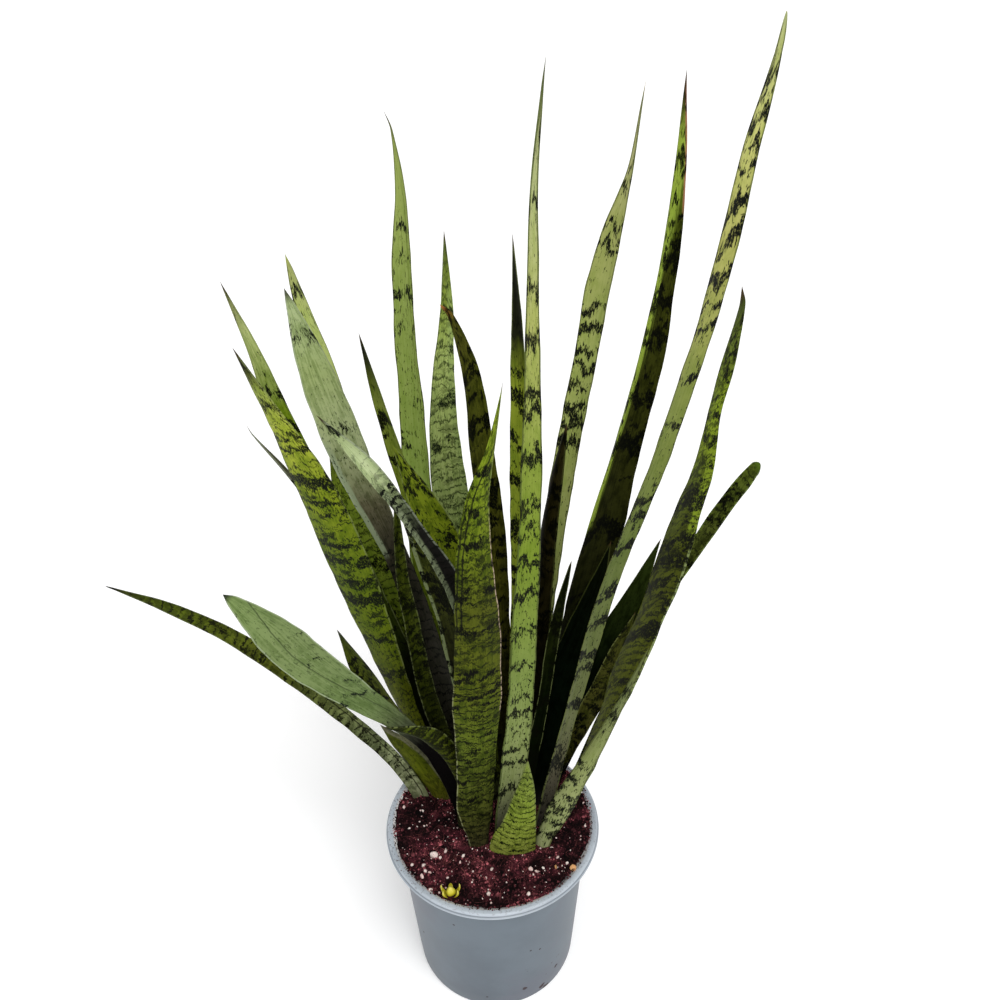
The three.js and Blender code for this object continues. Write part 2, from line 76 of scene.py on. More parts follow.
def camera_axes():
    """The camera's right, up and forward directions."""
    level = math.cos(CAMERA_PITCH)
    forward = Vector((math.sin(CAMERA_YAW) * level, math.cos(CAMERA_YAW) * level,
                      -math.sin(CAMERA_PITCH)))
    right = Vector((math.cos(CAMERA_YAW), -math.sin(CAMERA_YAW), 0))
    up = right.cross(forward)
    turn, tilt = math.cos(CAMERA_ROLL), math.sin(CAMERA_ROLL)
    return right * turn + up * tilt, up * turn - right * tilt, forward


RIGHT, UP, FORWARD = camera_axes()


def make_camera():
    data = bpy.data.cameras.new("camera")
    data.sensor_width = 36
    data.lens = LENS
    camera = bpy.data.objects.new("camera", data)
    scene.collection.objects.link(camera)
    turned = Matrix((RIGHT, UP, -FORWARD)).transposed().to_4x4()
    camera.matrix_world = Matrix.Translation(CAMERA_PLACE) @ turned
    scene.camera = camera


make_camera()


# ---- materials

def linear(red, green, blue):
    """A display colour of 0 to 255 as linear light."""
    values = (red / 255, green / 255, blue / 255)
    return tuple(v / 12.92 if v < 0.04 else ((v + 0.055) / 1.055) ** 2.4 for v in values) + (1.0,)


class Nodes:
    """Builds the nodes of one tree."""

    def __init__(self, tree):
        self.tree = tree

    def node(self, kind, *values, **settings):
        made = self.tree.nodes.new("ShaderNode" + kind)
        for key, value in settings.items():
            setattr(made, key, value)
        for socket, value in zip(made.inputs, values):
            self.feed(socket, value)
        return made

    def feed(self, socket, value):
        if isinstance(value, bpy.types.NodeSocket):
            self.tree.links.new(value, socket)
        elif value is not None:
            socket.default_value = value

    def math(self, operation, first, second=0.0, third=0.0):
        return self.node("Math", first, second, third, operation=operation).outputs[0]

    def add(self, first, second):
        return self.math("ADD", first, second)

    def times(self, first, second):
        return self.math("MULTIPLY", first, second)

    def distance(self, first, second):
        """How far apart two numbers are."""
        return self.math("ABSOLUTE", self.math("SUBTRACT", first, second))

    def step(self, value, low, high, start=0.0, end=1.0):
        """Goes smoothly from start to end while value goes from low to high."""
        made = self.node("MapRange", value, low, high, start, end,
                         interpolation_type="SMOOTHSTEP")
        return made.outputs[0]

    def mix(self, share, first, second, blend="MIX"):
        made = self.node("Mix", share, *[None] * 5, first, second,
                         data_type="RGBA", blend_type=blend)
        return made.outputs[2]

    def uv(self, name):
        return self.node("UVMap", uv_map=name).outputs[0]

    def place(self):
        return self.node("TexCoord").outputs["Object"]

    def shade(self):
        """The shade number of a grain in a heap."""
        return self.node("Attribute", attribute_name="shade").outputs["Fac"]

    def parts(self, vector):
        return self.node("SeparateXYZ", vector).outputs

    def vector(self, x, y, z=0.0):
        return self.node("CombineXYZ", x, y, z).outputs[0]

    def stretched(self, vector, scale, move=(0, 0, 0)):
        return self.node("Mapping", vector, move, None, scale).outputs[0]

    def noise(self, vector, scale=1.0, detail=2.0, rough=0.5):
        return self.node("TexNoise", vector, None, scale, detail, rough).outputs[0]

    def stops(self, value, stops):
        """A colour or grey that changes along value; stops are (place, colour)."""
        made = self.node("ValToRGB", value)
        ramp = made.color_ramp
        while len(ramp.elements) < len(stops):
            ramp.elements.new(1.0)
        for element, (place, colour) in zip(ramp.elements, sorted(stops)):
            element.position = place
            element.color = colour
        return made.outputs[0]

    def window(self, value, low, high, before, after):
        """1 while value is between low and high, and down to 0 beside them."""
        return self.stops(value, [(low - before, grey(0)), (low, grey(1)),
                                  (high, grey(1)), (high + after, grey(0))])


class Shader(Nodes):
    """One procedural material."""

    def __init__(self, name, roughness=0.5, specular=0.5):
        self.material = bpy.data.materials.new(name)
        self.material.use_nodes = True
        super().__init__(self.material.node_tree)
        self.surface = self.tree.nodes["Principled BSDF"]
        self.surface.inputs["Roughness"].default_value = roughness
        self.surface.inputs["Specular IOR Level"].default_value = specular

    def done(self, colour, height, strength, distance):
        """The material with its colour and its bumps."""
        self.colour(colour)
        made = self.node("Bump")
        self.feed(made.inputs["Strength"], strength)
        self.feed(made.inputs["Distance"], distance)
        self.feed(made.inputs["Height"], height)
        self.feed(self.surface.inputs["Normal"], made.outputs[0])
        return self.material

    def colour(self, value):
        self.feed(self.surface.inputs["Base Color"], value)

    def rough(self, value):
        self.feed(self.surface.inputs["Roughness"], value)


def grey(value):
    return (value, value, value, 1.0)


# ---- leaves: each is a finer skin through the points of its solid

SECTION_POINTS = 10
ACROSS = np.array([-1, -0.6, 0, 0.6, 1.0])
FINE_ACROSS = np.sin(np.linspace(-math.pi / 2, math.pi / 2, 13))
ROW_STEP = 5.0 * MM
TIP_ROWS = 7


def welded(name):
    """A node's points with its doubled points joined, and the numbers next to each."""
    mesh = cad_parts[name].data
    number = {}
    points = []
    beside = []
    for polygon in mesh.polygons:
        corners = []
        for index in polygon.vertices:
            spot = mesh.vertices[index].co
            key = tuple(round(value, 6) for value in spot)
            if key not in number:
                number[key] = len(points)
                points.append(tuple(spot))
                beside.append(set())
            corners.append(number[key])
        for corner in corners:
            beside[corner].update(corners)
    for index, others in enumerate(beside):
        others.discard(index)
    return np.array(points), beside


def walk_round(level, beside):
    """The points of one section in their order round it."""
    ring = [min(level)]
    while len(ring) < len(level):
        following = [other for other in sorted(beside[ring[-1]] & level) if other not in ring]
        ring.append(following[0])
    return ring


def sections_of(name):
    """The leaf's tip, and its sections from the foot up as (rows, SECTION_POINTS, 3)."""
    points, beside = welded(name)
    poles = [index for index, others in enumerate(beside) if len(others) == SECTION_POINTS]
    poles.sort(key=lambda index: points[index][2])
    tip = poles[-1]
    left = set(range(len(points))) - {tip, poles[0]}
    level = set(beside[tip]) & left
    rings = []
    while level:
        rings.append(walk_round(level, beside))
        left -= level
        level = {other for index in level for other in beside[index]} & left
    aligned = [rings[0]]
    for ring in rings[1:]:
        above = aligned[-1]

        def mismatch(trial):
            meets = all(low in beside[high] for low, high in zip(trial, above))
            return not meets, np.linalg.norm(points[trial] - points[above], axis=1).sum()

        aligned.append(min((turned[shift:] + turned[:shift] for turned in (ring, ring[::-1])
                            for shift in range(SECTION_POINTS)), key=mismatch))
    return points[tip], points[np.array(aligned[::-1])]


def two_faces(name):
    """The tip and the leaf's two faces, (rows, 5, 3) each, left to right as the camera sees."""
    tip, sections = sections_of(name)
    edges = np.linalg.norm(sections - np.roll(sections, -1, axis=1), axis=2)
    widest = edges.sum(axis=1).argmax()
    pairs = edges[widest, :5] + edges[widest, 5:]
    sections = np.roll(sections, 4 - int(pairs.argmin()), axis=1)
    front, back = sections[:, :5], sections[:, 9:4:-1]
    middle = len(front) // 2
    rightward = (front[:, 4] - front[:, 0]).sum(axis=0)
    if rightward @ np.array(RIGHT) < 0:
        front, back = front[:, ::-1], back[:, ::-1]
    towards = np.array(CAMERA_PLACE) - front[middle, 2]
    if (front[middle, 2] - back[middle, 2]) @ towards < 0:
        front, back = back, front
    return tip, front, back


def across_weights(places):
    """How much each of the five columns counts at each place across."""
    weights = np.ones((len(places), 5))
    for own, at in enumerate(ACROSS):
        for other in ACROSS:
            if other != at:
                weights[:, own] *= (places - other) / (at - other)
    return weights


def smooth_rows(columns, distance, fine):
    """A cubic through the rows of columns, read at the distances in fine."""
    slopes = np.empty_like(columns)
    span = (distance[2:] - distance[:-2])[:, None, None]
    slopes[1:-1] = (columns[2:] - columns[:-2]) / span
    slopes[0] = (columns[1] - columns[0]) / (distance[1] - distance[0])
    slopes[-1] = (columns[-1] - columns[-2]) / (distance[-1] - distance[-2])
    row = np.clip(np.searchsorted(distance, fine, side="right") - 1, 0, len(distance) - 2)
    step = (distance[row + 1] - distance[row])[:, None, None]
    share = ((fine - distance[row])[:, None, None]) / step
    square, cube = share ** 2, share ** 3
    return (columns[row] * (2 * cube - 3 * square + 1)
            + slopes[row] * (cube - 2 * square + share) * step
            + columns[row + 1] * (3 * square - 2 * cube)
            + slopes[row + 1] * (cube - square) * step)


def make_object(name, points, faces, smooth=True):
    mesh = bpy.data.meshes.new(name)
    mesh.from_pydata([tuple(point) for point in points], [], faces)
    mesh.update()
    if smooth:
        mesh.shade_smooth()
    made = bpy.data.objects.new(name, mesh)
    scene.collection.objects.link(made)
    return made


def turn_outward(made):
    """Makes every face of a closed mesh look outward."""
    work = bmesh.new()
    work.from_mesh(made.data)
    bmesh.ops.recalc_face_normals(work, faces=work.faces)
    work.to_mesh(made.data)
    work.free()
    return made


def joined(rings):
    """Faces between neighbouring rings of point numbers; a ring of one is a pole."""
    faces = []
    for low, high in zip(rings, rings[1:]):
        count = max(len(low), len(high))
        for side in range(count):
            following = (side + 1) % count
            if len(low) == 1:
                faces.append((low[0], high[following], high[side]))
            elif len(high) == 1:
                faces.append((low[side], low[following], high[0]))
            else:
                faces.append((low[side], low[following], high[following], high[side]))
    return faces


def polar(radius, turn):
    return radius * math.cos(turn), radius * math.sin(turn)


def circle(radius, height, sides, centre=(0, 0)):
    """The points of a level circle, or its one point where it has no radius."""
    if radius == 0:
        return [(*centre, height)]
    places = [polar(radius, 2 * math.pi * side / sides) for side in range(sides)]
    return [(centre[0] + x, centre[1] + y, height) for x, y in places]


def ring_numbers(rings):
    """The numbers of the points of each ring, counted through all the rings."""
    numbers = []
    for ring in rings:
        start = numbers[-1].stop if numbers else 0
        numbers.append(range(start, start + len(ring)))
    return numbers


def closed_skin(name, rings):
    """A closed mesh through rings of points in millimetres, with a pole at each end."""
    points = [(x * MM, y * MM, z * MM) for ring in rings for x, y, z in ring]
    return turn_outward(make_object(name, points, joined(ring_numbers(rings))))


def add_uv(made, name, values):
    """One UV layer from a pair of numbers for every point."""
    layer = made.data.uv_layers.new(name=name)
    corners = np.empty(len(made.data.loops), int)
    made.data.loops.foreach_get("vertex_index", corners)
    layer.data.foreach_set("uv", np.asarray(values, np.float32)[corners].ravel())


def ripple(seed, along, count):
    """Slow waves of about -1 to 1 along a margin."""
    return np.array([noise.noise(Vector((seed, place * count, 0.3))) for place in along])


# the leaves with a rounded tip
BLUNT = ("leaf_tallest", "leaf_right_back", "leaf_far_left")
# the margins' small waves in millimetres, out of the blade and in it, and the width of
# blade that has them in full
SWAY = 1.6
REACH = 0.9
WAVY_WIDTH = 25
SWAYS_PER_METRE = 22
REACHES_PER_METRE = 60
MARGIN_BULGE = 0.4


def make_leaf(name, seed):
    tip, front, back = two_faces(name)
    point_row = np.repeat(tip[None, None], 5, axis=1)
    front, back = (np.concatenate([face, point_row]) for face in (front, back))
    spine = (front[:, 2] + back[:, 2]) / 2
    steps = np.linalg.norm(np.diff(spine, axis=0), axis=1)
    distance = np.concatenate([[0], np.cumsum(steps)])
    length = distance[-1]
    body = np.linspace(0, distance[-2], round(distance[-2] / ROW_STEP) + 1)
    rows_left = np.linspace(0, 1, TIP_ROWS + 1)[1:-1]
    if name in BLUNT:
        rows_left = 1 - (1 - rows_left) ** 2
    fine = np.concatenate([body, distance[-2] + steps[-1] * rows_left])
    weights = across_weights(FINE_ACROSS)
    front, back = (
        np.einsum("ck,rkd->rcd", weights, smooth_rows(face, distance, fine))
        for face in (front, back))
    if name in BLUNT:
        left = np.clip((length - fine) / steps[-1], 1e-3, 1)
        rounder = (np.maximum(left ** -0.5, 1))[:, None, None]
        axis = ((front[:, 6] + back[:, 6]) / 2)[:, None]
        front, back = axis + (front - axis) * rounder, axis + (back - axis) * rounder
    width = np.linalg.norm(front[:, -1] - front[:, 0], axis=1)

    normal = front - back
    normal /= np.maximum(np.linalg.norm(normal, axis=2, keepdims=True), 1e-9)
    sideways = (front[:, -1] - front[:, 0]) / np.maximum(width, 1e-9)[:, None]
    sway = np.zeros(front.shape[:2])
    reach = np.zeros(front.shape[:2])
    size = np.minimum(1, width / (WAVY_WIDTH * MM))
    for side in (-1, 1):
        share = np.clip(side * FINE_ACROSS, 0, 1) ** 3
        slow = ripple(seed + side, fine / length, length * SWAYS_PER_METRE)
        quick = ripple(seed + 5 * side, fine / length, length * REACHES_PER_METRE)
        sway += share * (slow * size)[:, None]
        reach += side * share * (quick * size)[:, None]
    shift = normal * sway[..., None] * SWAY * MM
    shift = shift + sideways[:, None] * reach[..., None] * REACH * MM
    front, back = front + shift, back + shift

    # a rounded margin joins the two faces on each side
    edges = []
    for side, sign in ((-1, 1), (0, -1)):
        thick = np.linalg.norm(front[:, side] - back[:, side], axis=1)
        middle = (front[:, side] + back[:, side]) / 2
        edges.append(middle + sign * sideways * (MARGIN_BULGE * thick)[:, None])
    rings = np.concatenate(
        [front, edges[0][:, None], back[:, ::-1], edges[1][:, None]], axis=1)
    points = list(rings.reshape(-1, 3)) + [spine[0], tip]
    root, end = [len(points) - 2], [len(points) - 1]
    faces = joined([root, *ring_numbers(rings), end])
    made = turn_outward(make_object("fine_" + name, points, faces))

    # three maps: metres across and along, shares of both, and metres from each margin
    across = np.concatenate([FINE_ACROSS, [1], FINE_ACROSS[::-1], [-1]])
    half = width.max() / 2
    local = width[:, None] / 2
    for layer, pair, ends in (
            ("size", (across[None] * half, fine[:, None]), [(0, 0), (0, length)]),
            ("span", (across[None] / 2 + 0.5, fine[:, None] / length), [(0.5, 0), (0.5, 1)]),
            ("edge", ((1 + across[None]) * local, (1 - across[None]) * local),
             [(half, half), (0, 0)])):
        grid = np.stack(np.broadcast_arrays(*pair), -1)
        add_uv(made, layer, np.concatenate([grid.reshape(-1, 2), ends]))
    return made, length


def both(*strip):
    """The same strip along both margins."""
    return ("left", *strip), ("right", *strip)


# A look: along has the tones from foot to tip as (place, red, green, blue), and deep is what
# the streaks and mottles multiply them by. ink colours the marks: blots over a threshold, with
# blot's width and height and in groups as group has (length, strength); spots at places of
# their own, as spot has (size, strength); flecks; wandering lines, as line has (width, height,
# thickness, gate); and rows of lines as (low, high, gap, amount). strips lie on a margin and
# seams at a distance from it: (side, low, high, millimetres, colour, amount). Lengths are in
# millimetres, and places and the spots' size are shares of the leaf's length.
# foot is a colour that takes over towards the foot, with foot_reach and foot_share; it and the
# darkest along tones near the feet are partly the leaves' own purplish grey base and partly
# painted shade among the crowded leaf bases
DEFAULT_LOOK = dict(along=((0, 110, 125, 60), (1, 120, 140, 60)), deep=(0.62, 0.66, 0.55),
    ink=(20, 24, 12), streak=0.6, mottle=0.35, blots=0.61, blot=(14, 8), feather=6, bend=14,
    group=(45, 0.4), flecks=0, lines=0, line=(30, 10, 0.04, 0.44), spots=(), spot=(0.018, 0.3),
    foot=(62, 56, 58), foot_reach=0.14, foot_share=0.5, tip=(58, 44, 26), tip_reach=0.02,
    strips=both(0.3, 1, 0.8, (126, 136, 84), 0.5), seams=(), rows=(), shine=0.03)
STREAK_WIDTH = 1.6
INK_EDGE = 0.03
LEAF_ROUGHNESS = 0.5
# a colour ramp holds 32 stops, and each spot takes three
SPOTS_PER_RAMP = 10


def leaf_material(name, look, length, seed):
    shader = Shader(name, specular=look.shine)
    add, times, step = shader.add, shader.times, shader.step
    flat = shader.uv("size")
    edge = dict(zip(("left", "right"), shader.parts(shader.uv("edge"))))
    across, along = shader.parts(flat)[0], shader.parts(flat)[1]
    share = shader.parts(shader.uv("span"))[1]

    def strip(wide, tall, detail=2.0, rough=0.5, vector=flat, shift=0.0):
        """Noise with grains of about wide by tall millimetres; shift sets it apart."""
        move = (seed * 7.3 + shift, seed * 3.1 + shift, seed * 1.7 + shift)
        placed = shader.stretched(vector, (1 / (wide * MM), 1 / (tall * MM), 1), move)
        return shader.noise(placed, 1.0, detail, rough)

    def centred(value, gain):
        return times(shader.math("SUBTRACT", value, 0.5), gain)

    # lengthwise streaks and cloudy mottles between the light and the deep colour
    streak = strip(STREAK_WIDTH, 60, 3.0, 0.6)
    fine_streak = strip(0.7, 22, 2.0, 0.6, shift=5.0)
    cloud = strip(9, 14, 4.0, 0.65, shift=11.0)
    mixed = add(centred(streak, look.streak * 2.4), 0.55)
    mixed = step(add(centred(cloud, look.mottle * 4.0), mixed), 0.1, 0.9)
    wandering = add(share, centred(cloud, 0.07))
    light = shader.stops(wandering, [(place, linear(*tint)) for place, *tint in look.along])
    deep = shader.mix(1.0, light, (*look.deep, 1), "MULTIPLY")
    colour = shader.mix(mixed, deep, light)
    # painted shade with the leaves' own base tone: the foot colour darkens the lowest part of each
    # blade
    foot = step(share, 0.0, look.foot_reach, look.foot_share, 0.0)
    colour = shader.mix(foot, colour, linear(*look.foot))

    # lengthwise seams: a line at a distance from one margin, between two places along
    for side, low, high, away, tint, amount in look.seams:
        near = shader.math("SUBTRACT", edge[side], away * MM)
        near = shader.math("ABSOLUTE", add(near, centred(cloud, 2.5 * MM)))
        seam = step(near, 0.25 * MM, 0.9 * MM, amount, 0.0)
        seam = times(seam, shader.window(share, low, high, 0.03, 0.03))
        colour = shader.mix(seam, colour, linear(*tint))

    # strips along a margin, from a hairline to a broad one, with ragged inner edges
    for side, low, high, width, tint, amount in look.strips:
        near = add(edge[side], centred(fine_streak, min(1.2, width) * MM))
        if width > 2:
            near = add(near, centred(streak, width * MM))
        inside = step(near, width * 0.75 * MM, width * 1.15 * MM, amount, 0.0)
        if (low, high) != (0, 1):
            inside = times(inside, shader.window(share, low, high, 0.02, 0.04))
        tone = shader.mix(fine_streak, linear(*(0.8 * value for value in tint)), linear(*tint))
        colour = shader.mix(inside, colour, tone)

    # cross bands: ragged along the fibres, and gathered into groups
    jag = strip(1.8, 9, 2.0, 0.6, shift=23.0)
    bend = strip(13, 45, 1.0, shift=37.0)
    ragged = add(centred(jag, look.feather * 2 * MM), along)
    ragged = add(centred(bend, look.bend * 2 * MM), ragged)
    banded = shader.vector(across, ragged)
    group_size, group_strength = look.group
    density = centred(strip(200, group_size, 1.0, shift=41.0), group_strength)
    spots = look.spots
    warped = shader.math("DIVIDE", ragged, length)
    patchy = step(strip(11, 9, 1.0, shift=71.0), 0.32, 0.52, 0.35, 1.0) if spots else None
    reach, strength = look.spot
    for start in range(0, len(spots), SPOTS_PER_RAMP):
        stops = []
        for spot in sorted(spots[start:start + SPOTS_PER_RAMP]):
            stops += [(spot - reach, grey(0.0)), (spot, grey(1.0)), (spot + reach, grey(0.0))]
        peaks = times(shader.stops(warped, stops), patchy)
        density = shader.math("MULTIPLY_ADD", peaks, strength, density)
    blot = add(strip(*look.blot, 3.0, 0.55, banded, 31.0), density)
    ink = step(blot, look.blots - INK_EDGE, look.blots + INK_EDGE)
    if look.flecks:
        fleck = add(strip(1.5, 5.0, 2.0, 0.6, shift=47.0), times(density, 0.5))
        ink = shader.math("MAXIMUM", ink, step(fleck, 0.61, 0.66, 0.0, look.flecks))
    if look.lines:
        wide, tall, width, gate = look.line
        wave = strip(wide, tall, 1.5, 0.5, banded, 53.0)
        thin = step(shader.distance(wave, 0.5), width * 0.4, width, 1.0, 0.0)
        gate = step(strip(14, 16, shift=61.0), gate - 0.05, gate + 0.05)
        ink = shader.math("MAXIMUM", ink, times(thin, times(gate, look.lines)))
    # rows of fine lines across the blade, evenly spaced and broken here and there
    for low, high, gap, amount in look.rows:
        turn = shader.math("DIVIDE", along, gap * MM)
        turn = add(turn, centred(strip(16, 14, shift=91.0), 2.0))
        turn = add(turn, centred(jag, 0.8))
        line = step(shader.distance(shader.math("FRACT", turn), 0.5), 0.08, 0.18, amount, 0.0)
        broken = step(strip(7, 5, 2.0, 0.6, shift=97.0), 0.38, 0.48)
        line = times(line, times(broken, shader.window(share, low, high, 0.04, 0.04)))
        ink = shader.math("MAXIMUM", ink, line)
    crumbled = step(strip(0.8, 2.4, 2.0, 0.6, shift=83.0), 0.36, 0.46, 0.45, 1.0)
    colour = shader.mix(times(ink, crumbled), colour, linear(*look.ink))

    reach = look.tip_reach
    tip = step(add(share, centred(fine_streak, reach)), 1.0 - 1.2 * reach, 1.0 - 0.3 * reach)
    colour = shader.mix(tip, colour, linear(*look.tip))
    shader.rough(shader.math("MULTIPLY_ADD", fine_streak, 0.16, LEAF_ROUGHNESS - 0.08))
    ridges = add(times(streak, 0.6), times(fine_streak, 0.4))
    return shader.done(colour, ridges, 0.35, 0.35 * MM)


SILVER = dict(slot="leaf_silver", deep=(0.66, 0.71, 0.6), streak=1, mottle=0.3, blots=0.72,
    flecks=0.7, foot=(58, 58, 46), foot_reach=0.5)
PALE = dict(slot="leaf_pale", deep=(0.74, 0.8, 0.62), ink=(14, 16, 10), blots=0.635, blot=(8, 11),
    feather=8, flecks=1, strips=both(0, 1, 0.9, (96, 104, 56), 0.8))
GREEN = dict(slot="leaf_green", deep=(0.54, 0.62, 0.44), ink=(8, 10, 4), flecks=0.9)
BANDED = dict(slot="leaf_banded", deep=(0.46, 0.52, 0.36), ink=(10, 12, 5), mottle=0.8, blots=0.62,
    flecks=0.6, lines=0.5)
DARK = dict(slot="leaf_dark", deep=(0.42, 0.44, 0.34), ink=(5, 6, 3), mottle=0.7, blots=0.6,
    flecks=0.7, strips=both(0.4, 1, 0.8, (84, 92, 44), 0.4), shine=0.01)

LEAVES = {}


def leaf_look(node, family, **own):
    LEAVES[node] = SimpleNamespace(**{**DEFAULT_LOOK, **family, **own})


leaf_look("leaf_far_left", BANDED, along=((0, 138, 142, 108), (0.2, 130, 138, 100),
    (0.42, 104, 114, 60), (0.55, 84, 90, 28), (0.85, 80, 92, 22), (1, 36, 40, 16)),
    deep=(0.62, 0.66, 0.55), ink=(20, 22, 6), feather=3, bend=6, line=(34, 10, 0.11, 0.28),
    foot_share=0.2, tip=(24, 24, 14), tip_reach=0.04,
    seams=(("right", 0.04, 0.5, 5, (30, 28, 16), 0.9),), rows=((0.1, 0.96, 9, 1),))
leaf_look("leaf_silver_low", SILVER, along=((0, 8, 6, 8), (0.3, 14, 12, 12), (0.36, 58, 60, 48),
    (0.43, 94, 106, 68), (0.5, 104, 122, 74), (0.8, 120, 136, 86), (1, 120, 140, 84)),
    ink=(24, 30, 20), mottle=0.6, flecks=0.5, spots=(0.44, 0.56, 0.61, 0.7), spot=(0.018, 0.19),
    foot=(12, 10, 10), tip=(40, 48, 34), strips=both(0.55, 1, 0.9, (176, 188, 154), 0.6),
    seams=(("left", 0.45, 0.97, 14, (56, 66, 40), 0.75),))
leaf_look("leaf_low_curl", BANDED, along=((0, 36, 38, 10), (0.5, 68, 74, 16), (0.9, 72, 82, 18),
    (1, 20, 22, 8)), feather=3, bend=5, lines=0.9, line=(36, 8, 0.12, 0.28),
    rows=((0.3, 1, 8, 1),))
leaf_look("leaf_low_olive", BANDED, along=((0, 82, 80, 24), (0.5, 82, 90, 16), (1, 68, 74, 18)),
    mottle=0.3, blots=0.74, strips=(("right", 0, 1, 4, (120, 118, 96), 0.7),
    ("left", 0, 1, 0.8, (176, 182, 140), 0.4)))
leaf_look("leaf_left_spear", DARK, along=((0, 48, 52, 14), (0.5, 76, 84, 24), (0.9, 66, 76, 20),
    (1, 12, 16, 6)), spots=(0.6, 0.82))
leaf_look("leaf_left_front", GREEN, along=((0, 54, 58, 14), (0.28, 76, 82, 14),
    (0.45, 92, 106, 18), (0.6, 94, 110, 20), (0.74, 118, 132, 26), (0.86, 160, 170, 56),
    (0.93, 148, 160, 74), (0.965, 52, 54, 28), (1, 28, 30, 18)), ink=(14, 18, 8), mottle=0.5,
    blots=0.7, blot=(9, 6), feather=5, bend=9, lines=0.9, line=(24, 9, 0.045, 0.45), spots=(0.902,
    0.845, 0.825, 0.769, 0.72, 0.7, 0.639, 0.6, 0.556, 0.511, 0.421, 0.326), spot=(0.02, 0.3))
leaf_look("leaf_left_back", GREEN, along=((0, 14, 18, 5), (0.32, 22, 28, 6), (0.6, 78, 94, 16),
    (0.8, 112, 134, 26), (0.93, 174, 182, 120), (1, 88, 80, 52)), blots=0.62,
    spots=(0.7, 0.77, 0.83), spot=(0.018, 0.4))
leaf_look("leaf_left_wisp", DARK, along=((0, 24, 26, 12), (0.6, 34, 38, 18), (1, 96, 96, 74)),
    strips=(("left", 0, 1, 1.4, (140, 146, 124), 0.7),))
leaf_look("leaf_left_shade", GREEN, along=((0, 32, 36, 10), (0.5, 92, 106, 30),
    (0.8, 126, 144, 48), (1, 116, 130, 44)), mottle=0.5, blots=0.59, lines=0.8,
    rows=((0.2, 0.9, 9, 0.8),))
# painted shade: below its middle this silver leaf turns dark grey-brown where it runs down into
# the shade of the clump
leaf_look("leaf_silver_tall", SILVER, along=((0, 36, 34, 30), (0.45, 48, 46, 38),
    (0.57, 58, 54, 42), (0.65, 92, 88, 66), (0.71, 134, 140, 102), (0.78, 162, 172, 126),
    (0.88, 152, 166, 108), (1, 164, 178, 130)), ink=(14, 16, 12), streak=1.2, mottle=0.9,
    feather=9, spots=(0.789, 0.93), spot=(0.018, 0.25), tip=(70, 74, 56),
    strips=(("left", 0.57, 0.74, 4, (156, 170, 134), 0.85),
    ("left", 0.66, 1, 0.9, (180, 192, 160), 0.6), ("right", 0.6, 1, 0.9, (150, 160, 126), 0.6)),
    rows=((0.08, 0.56, 12, 0.95),))
leaf_look("leaf_silver_back", PALE, along=((0, 60, 68, 26), (0.6, 124, 142, 70),
    (0.9, 178, 190, 112), (1, 160, 162, 106)), flecks=0.9, spots=(0.95,), spot=(0.016, 0.36),
    tip=(150, 158, 84))
leaf_look("leaf_silver_fold", SILVER, along=((0, 14, 12, 12), (0.5, 20, 18, 18),
    (0.74, 30, 28, 26), (0.8, 92, 100, 74), (0.84, 158, 170, 124), (0.9, 186, 198, 152),
    (0.97, 150, 164, 112), (1, 50, 52, 36)), ink=(10, 12, 8), blots=0.67, feather=4, bend=6,
    lines=0.5, line=(30, 9, 0.05, 0.42), spots=(0.812, 0.84, 0.967), foot_share=0.2,
    strips=(("left", 0.4, 0.82, 4.8, (140, 152, 116), 0.85),
    ("right", 0.2, 1, 1, (150, 158, 136), 0.6)), rows=((0.3, 0.82, 9, 1),))
leaf_look("leaf_dark_horn", DARK, along=((0, 32, 36, 12), (0.6, 122, 140, 36),
    (0.88, 122, 134, 56), (0.955, 42, 46, 18), (1, 20, 20, 12)), deep=(0.6, 0.66, 0.4), blots=0.66,
    spots=(0.85, 0.78))
leaf_look("leaf_green_mid", BANDED, along=((0, 64, 72, 18), (0.5, 74, 82, 16), (0.8, 106, 120, 22),
    (1, 112, 126, 32)), blots=0.55, blot=(7, 7), feather=5, group=(30, 0.25), flecks=1, lines=0.3,
    tip=(96, 108, 30))
leaf_look("leaf_tall_left", PALE, slot="leaf_green", along=((0, 66, 80, 34), (0.5, 142, 162, 80),
    (0.8, 130, 145, 75), (0.95, 142, 154, 84), (1, 76, 68, 42)), blots=0.7, flecks=0.8,
    spots=(0.947, 0.86, 0.82, 0.789, 0.777, 0.734, 0.647, 0.596, 0.566), spot=(0.013, 0.13),
    seams=(("right", 0.3, 0.9, 4, (96, 112, 44), 0.6),))
leaf_look("leaf_tall_silver", SILVER, along=((0, 60, 76, 30), (0.45, 124, 146, 72),
    (0.6, 160, 176, 106), (0.82, 168, 184, 106), (0.9, 138, 156, 62), (1, 42, 46, 28)),
    ink=(22, 30, 14), blots=0.76, feather=3, bend=5, lines=0.45, line=(40, 6, 0.05, 0.42),
    spots=(0.885, 0.837, 0.749, 0.689, 0.64, 0.586, 0.54), spot=(0.018, 0.26),
    strips=(("right", 0.4, 0.9, 5, (156, 178, 102), 0.6),
    ("left", 0.4, 1, 0.9, (120, 134, 80), 0.7)), rows=((0.54, 0.95, 9.5, 0.85),))
leaf_look("leaf_dark_curl", DARK, along=((0, 38, 40, 14), (0.5, 70, 70, 20), (0.85, 66, 70, 18),
    (0.97, 74, 74, 26), (1, 158, 106, 46)), blots=0.56, spots=(0.8, 0.68), tip=(150, 96, 50),
    tip_reach=0.012)
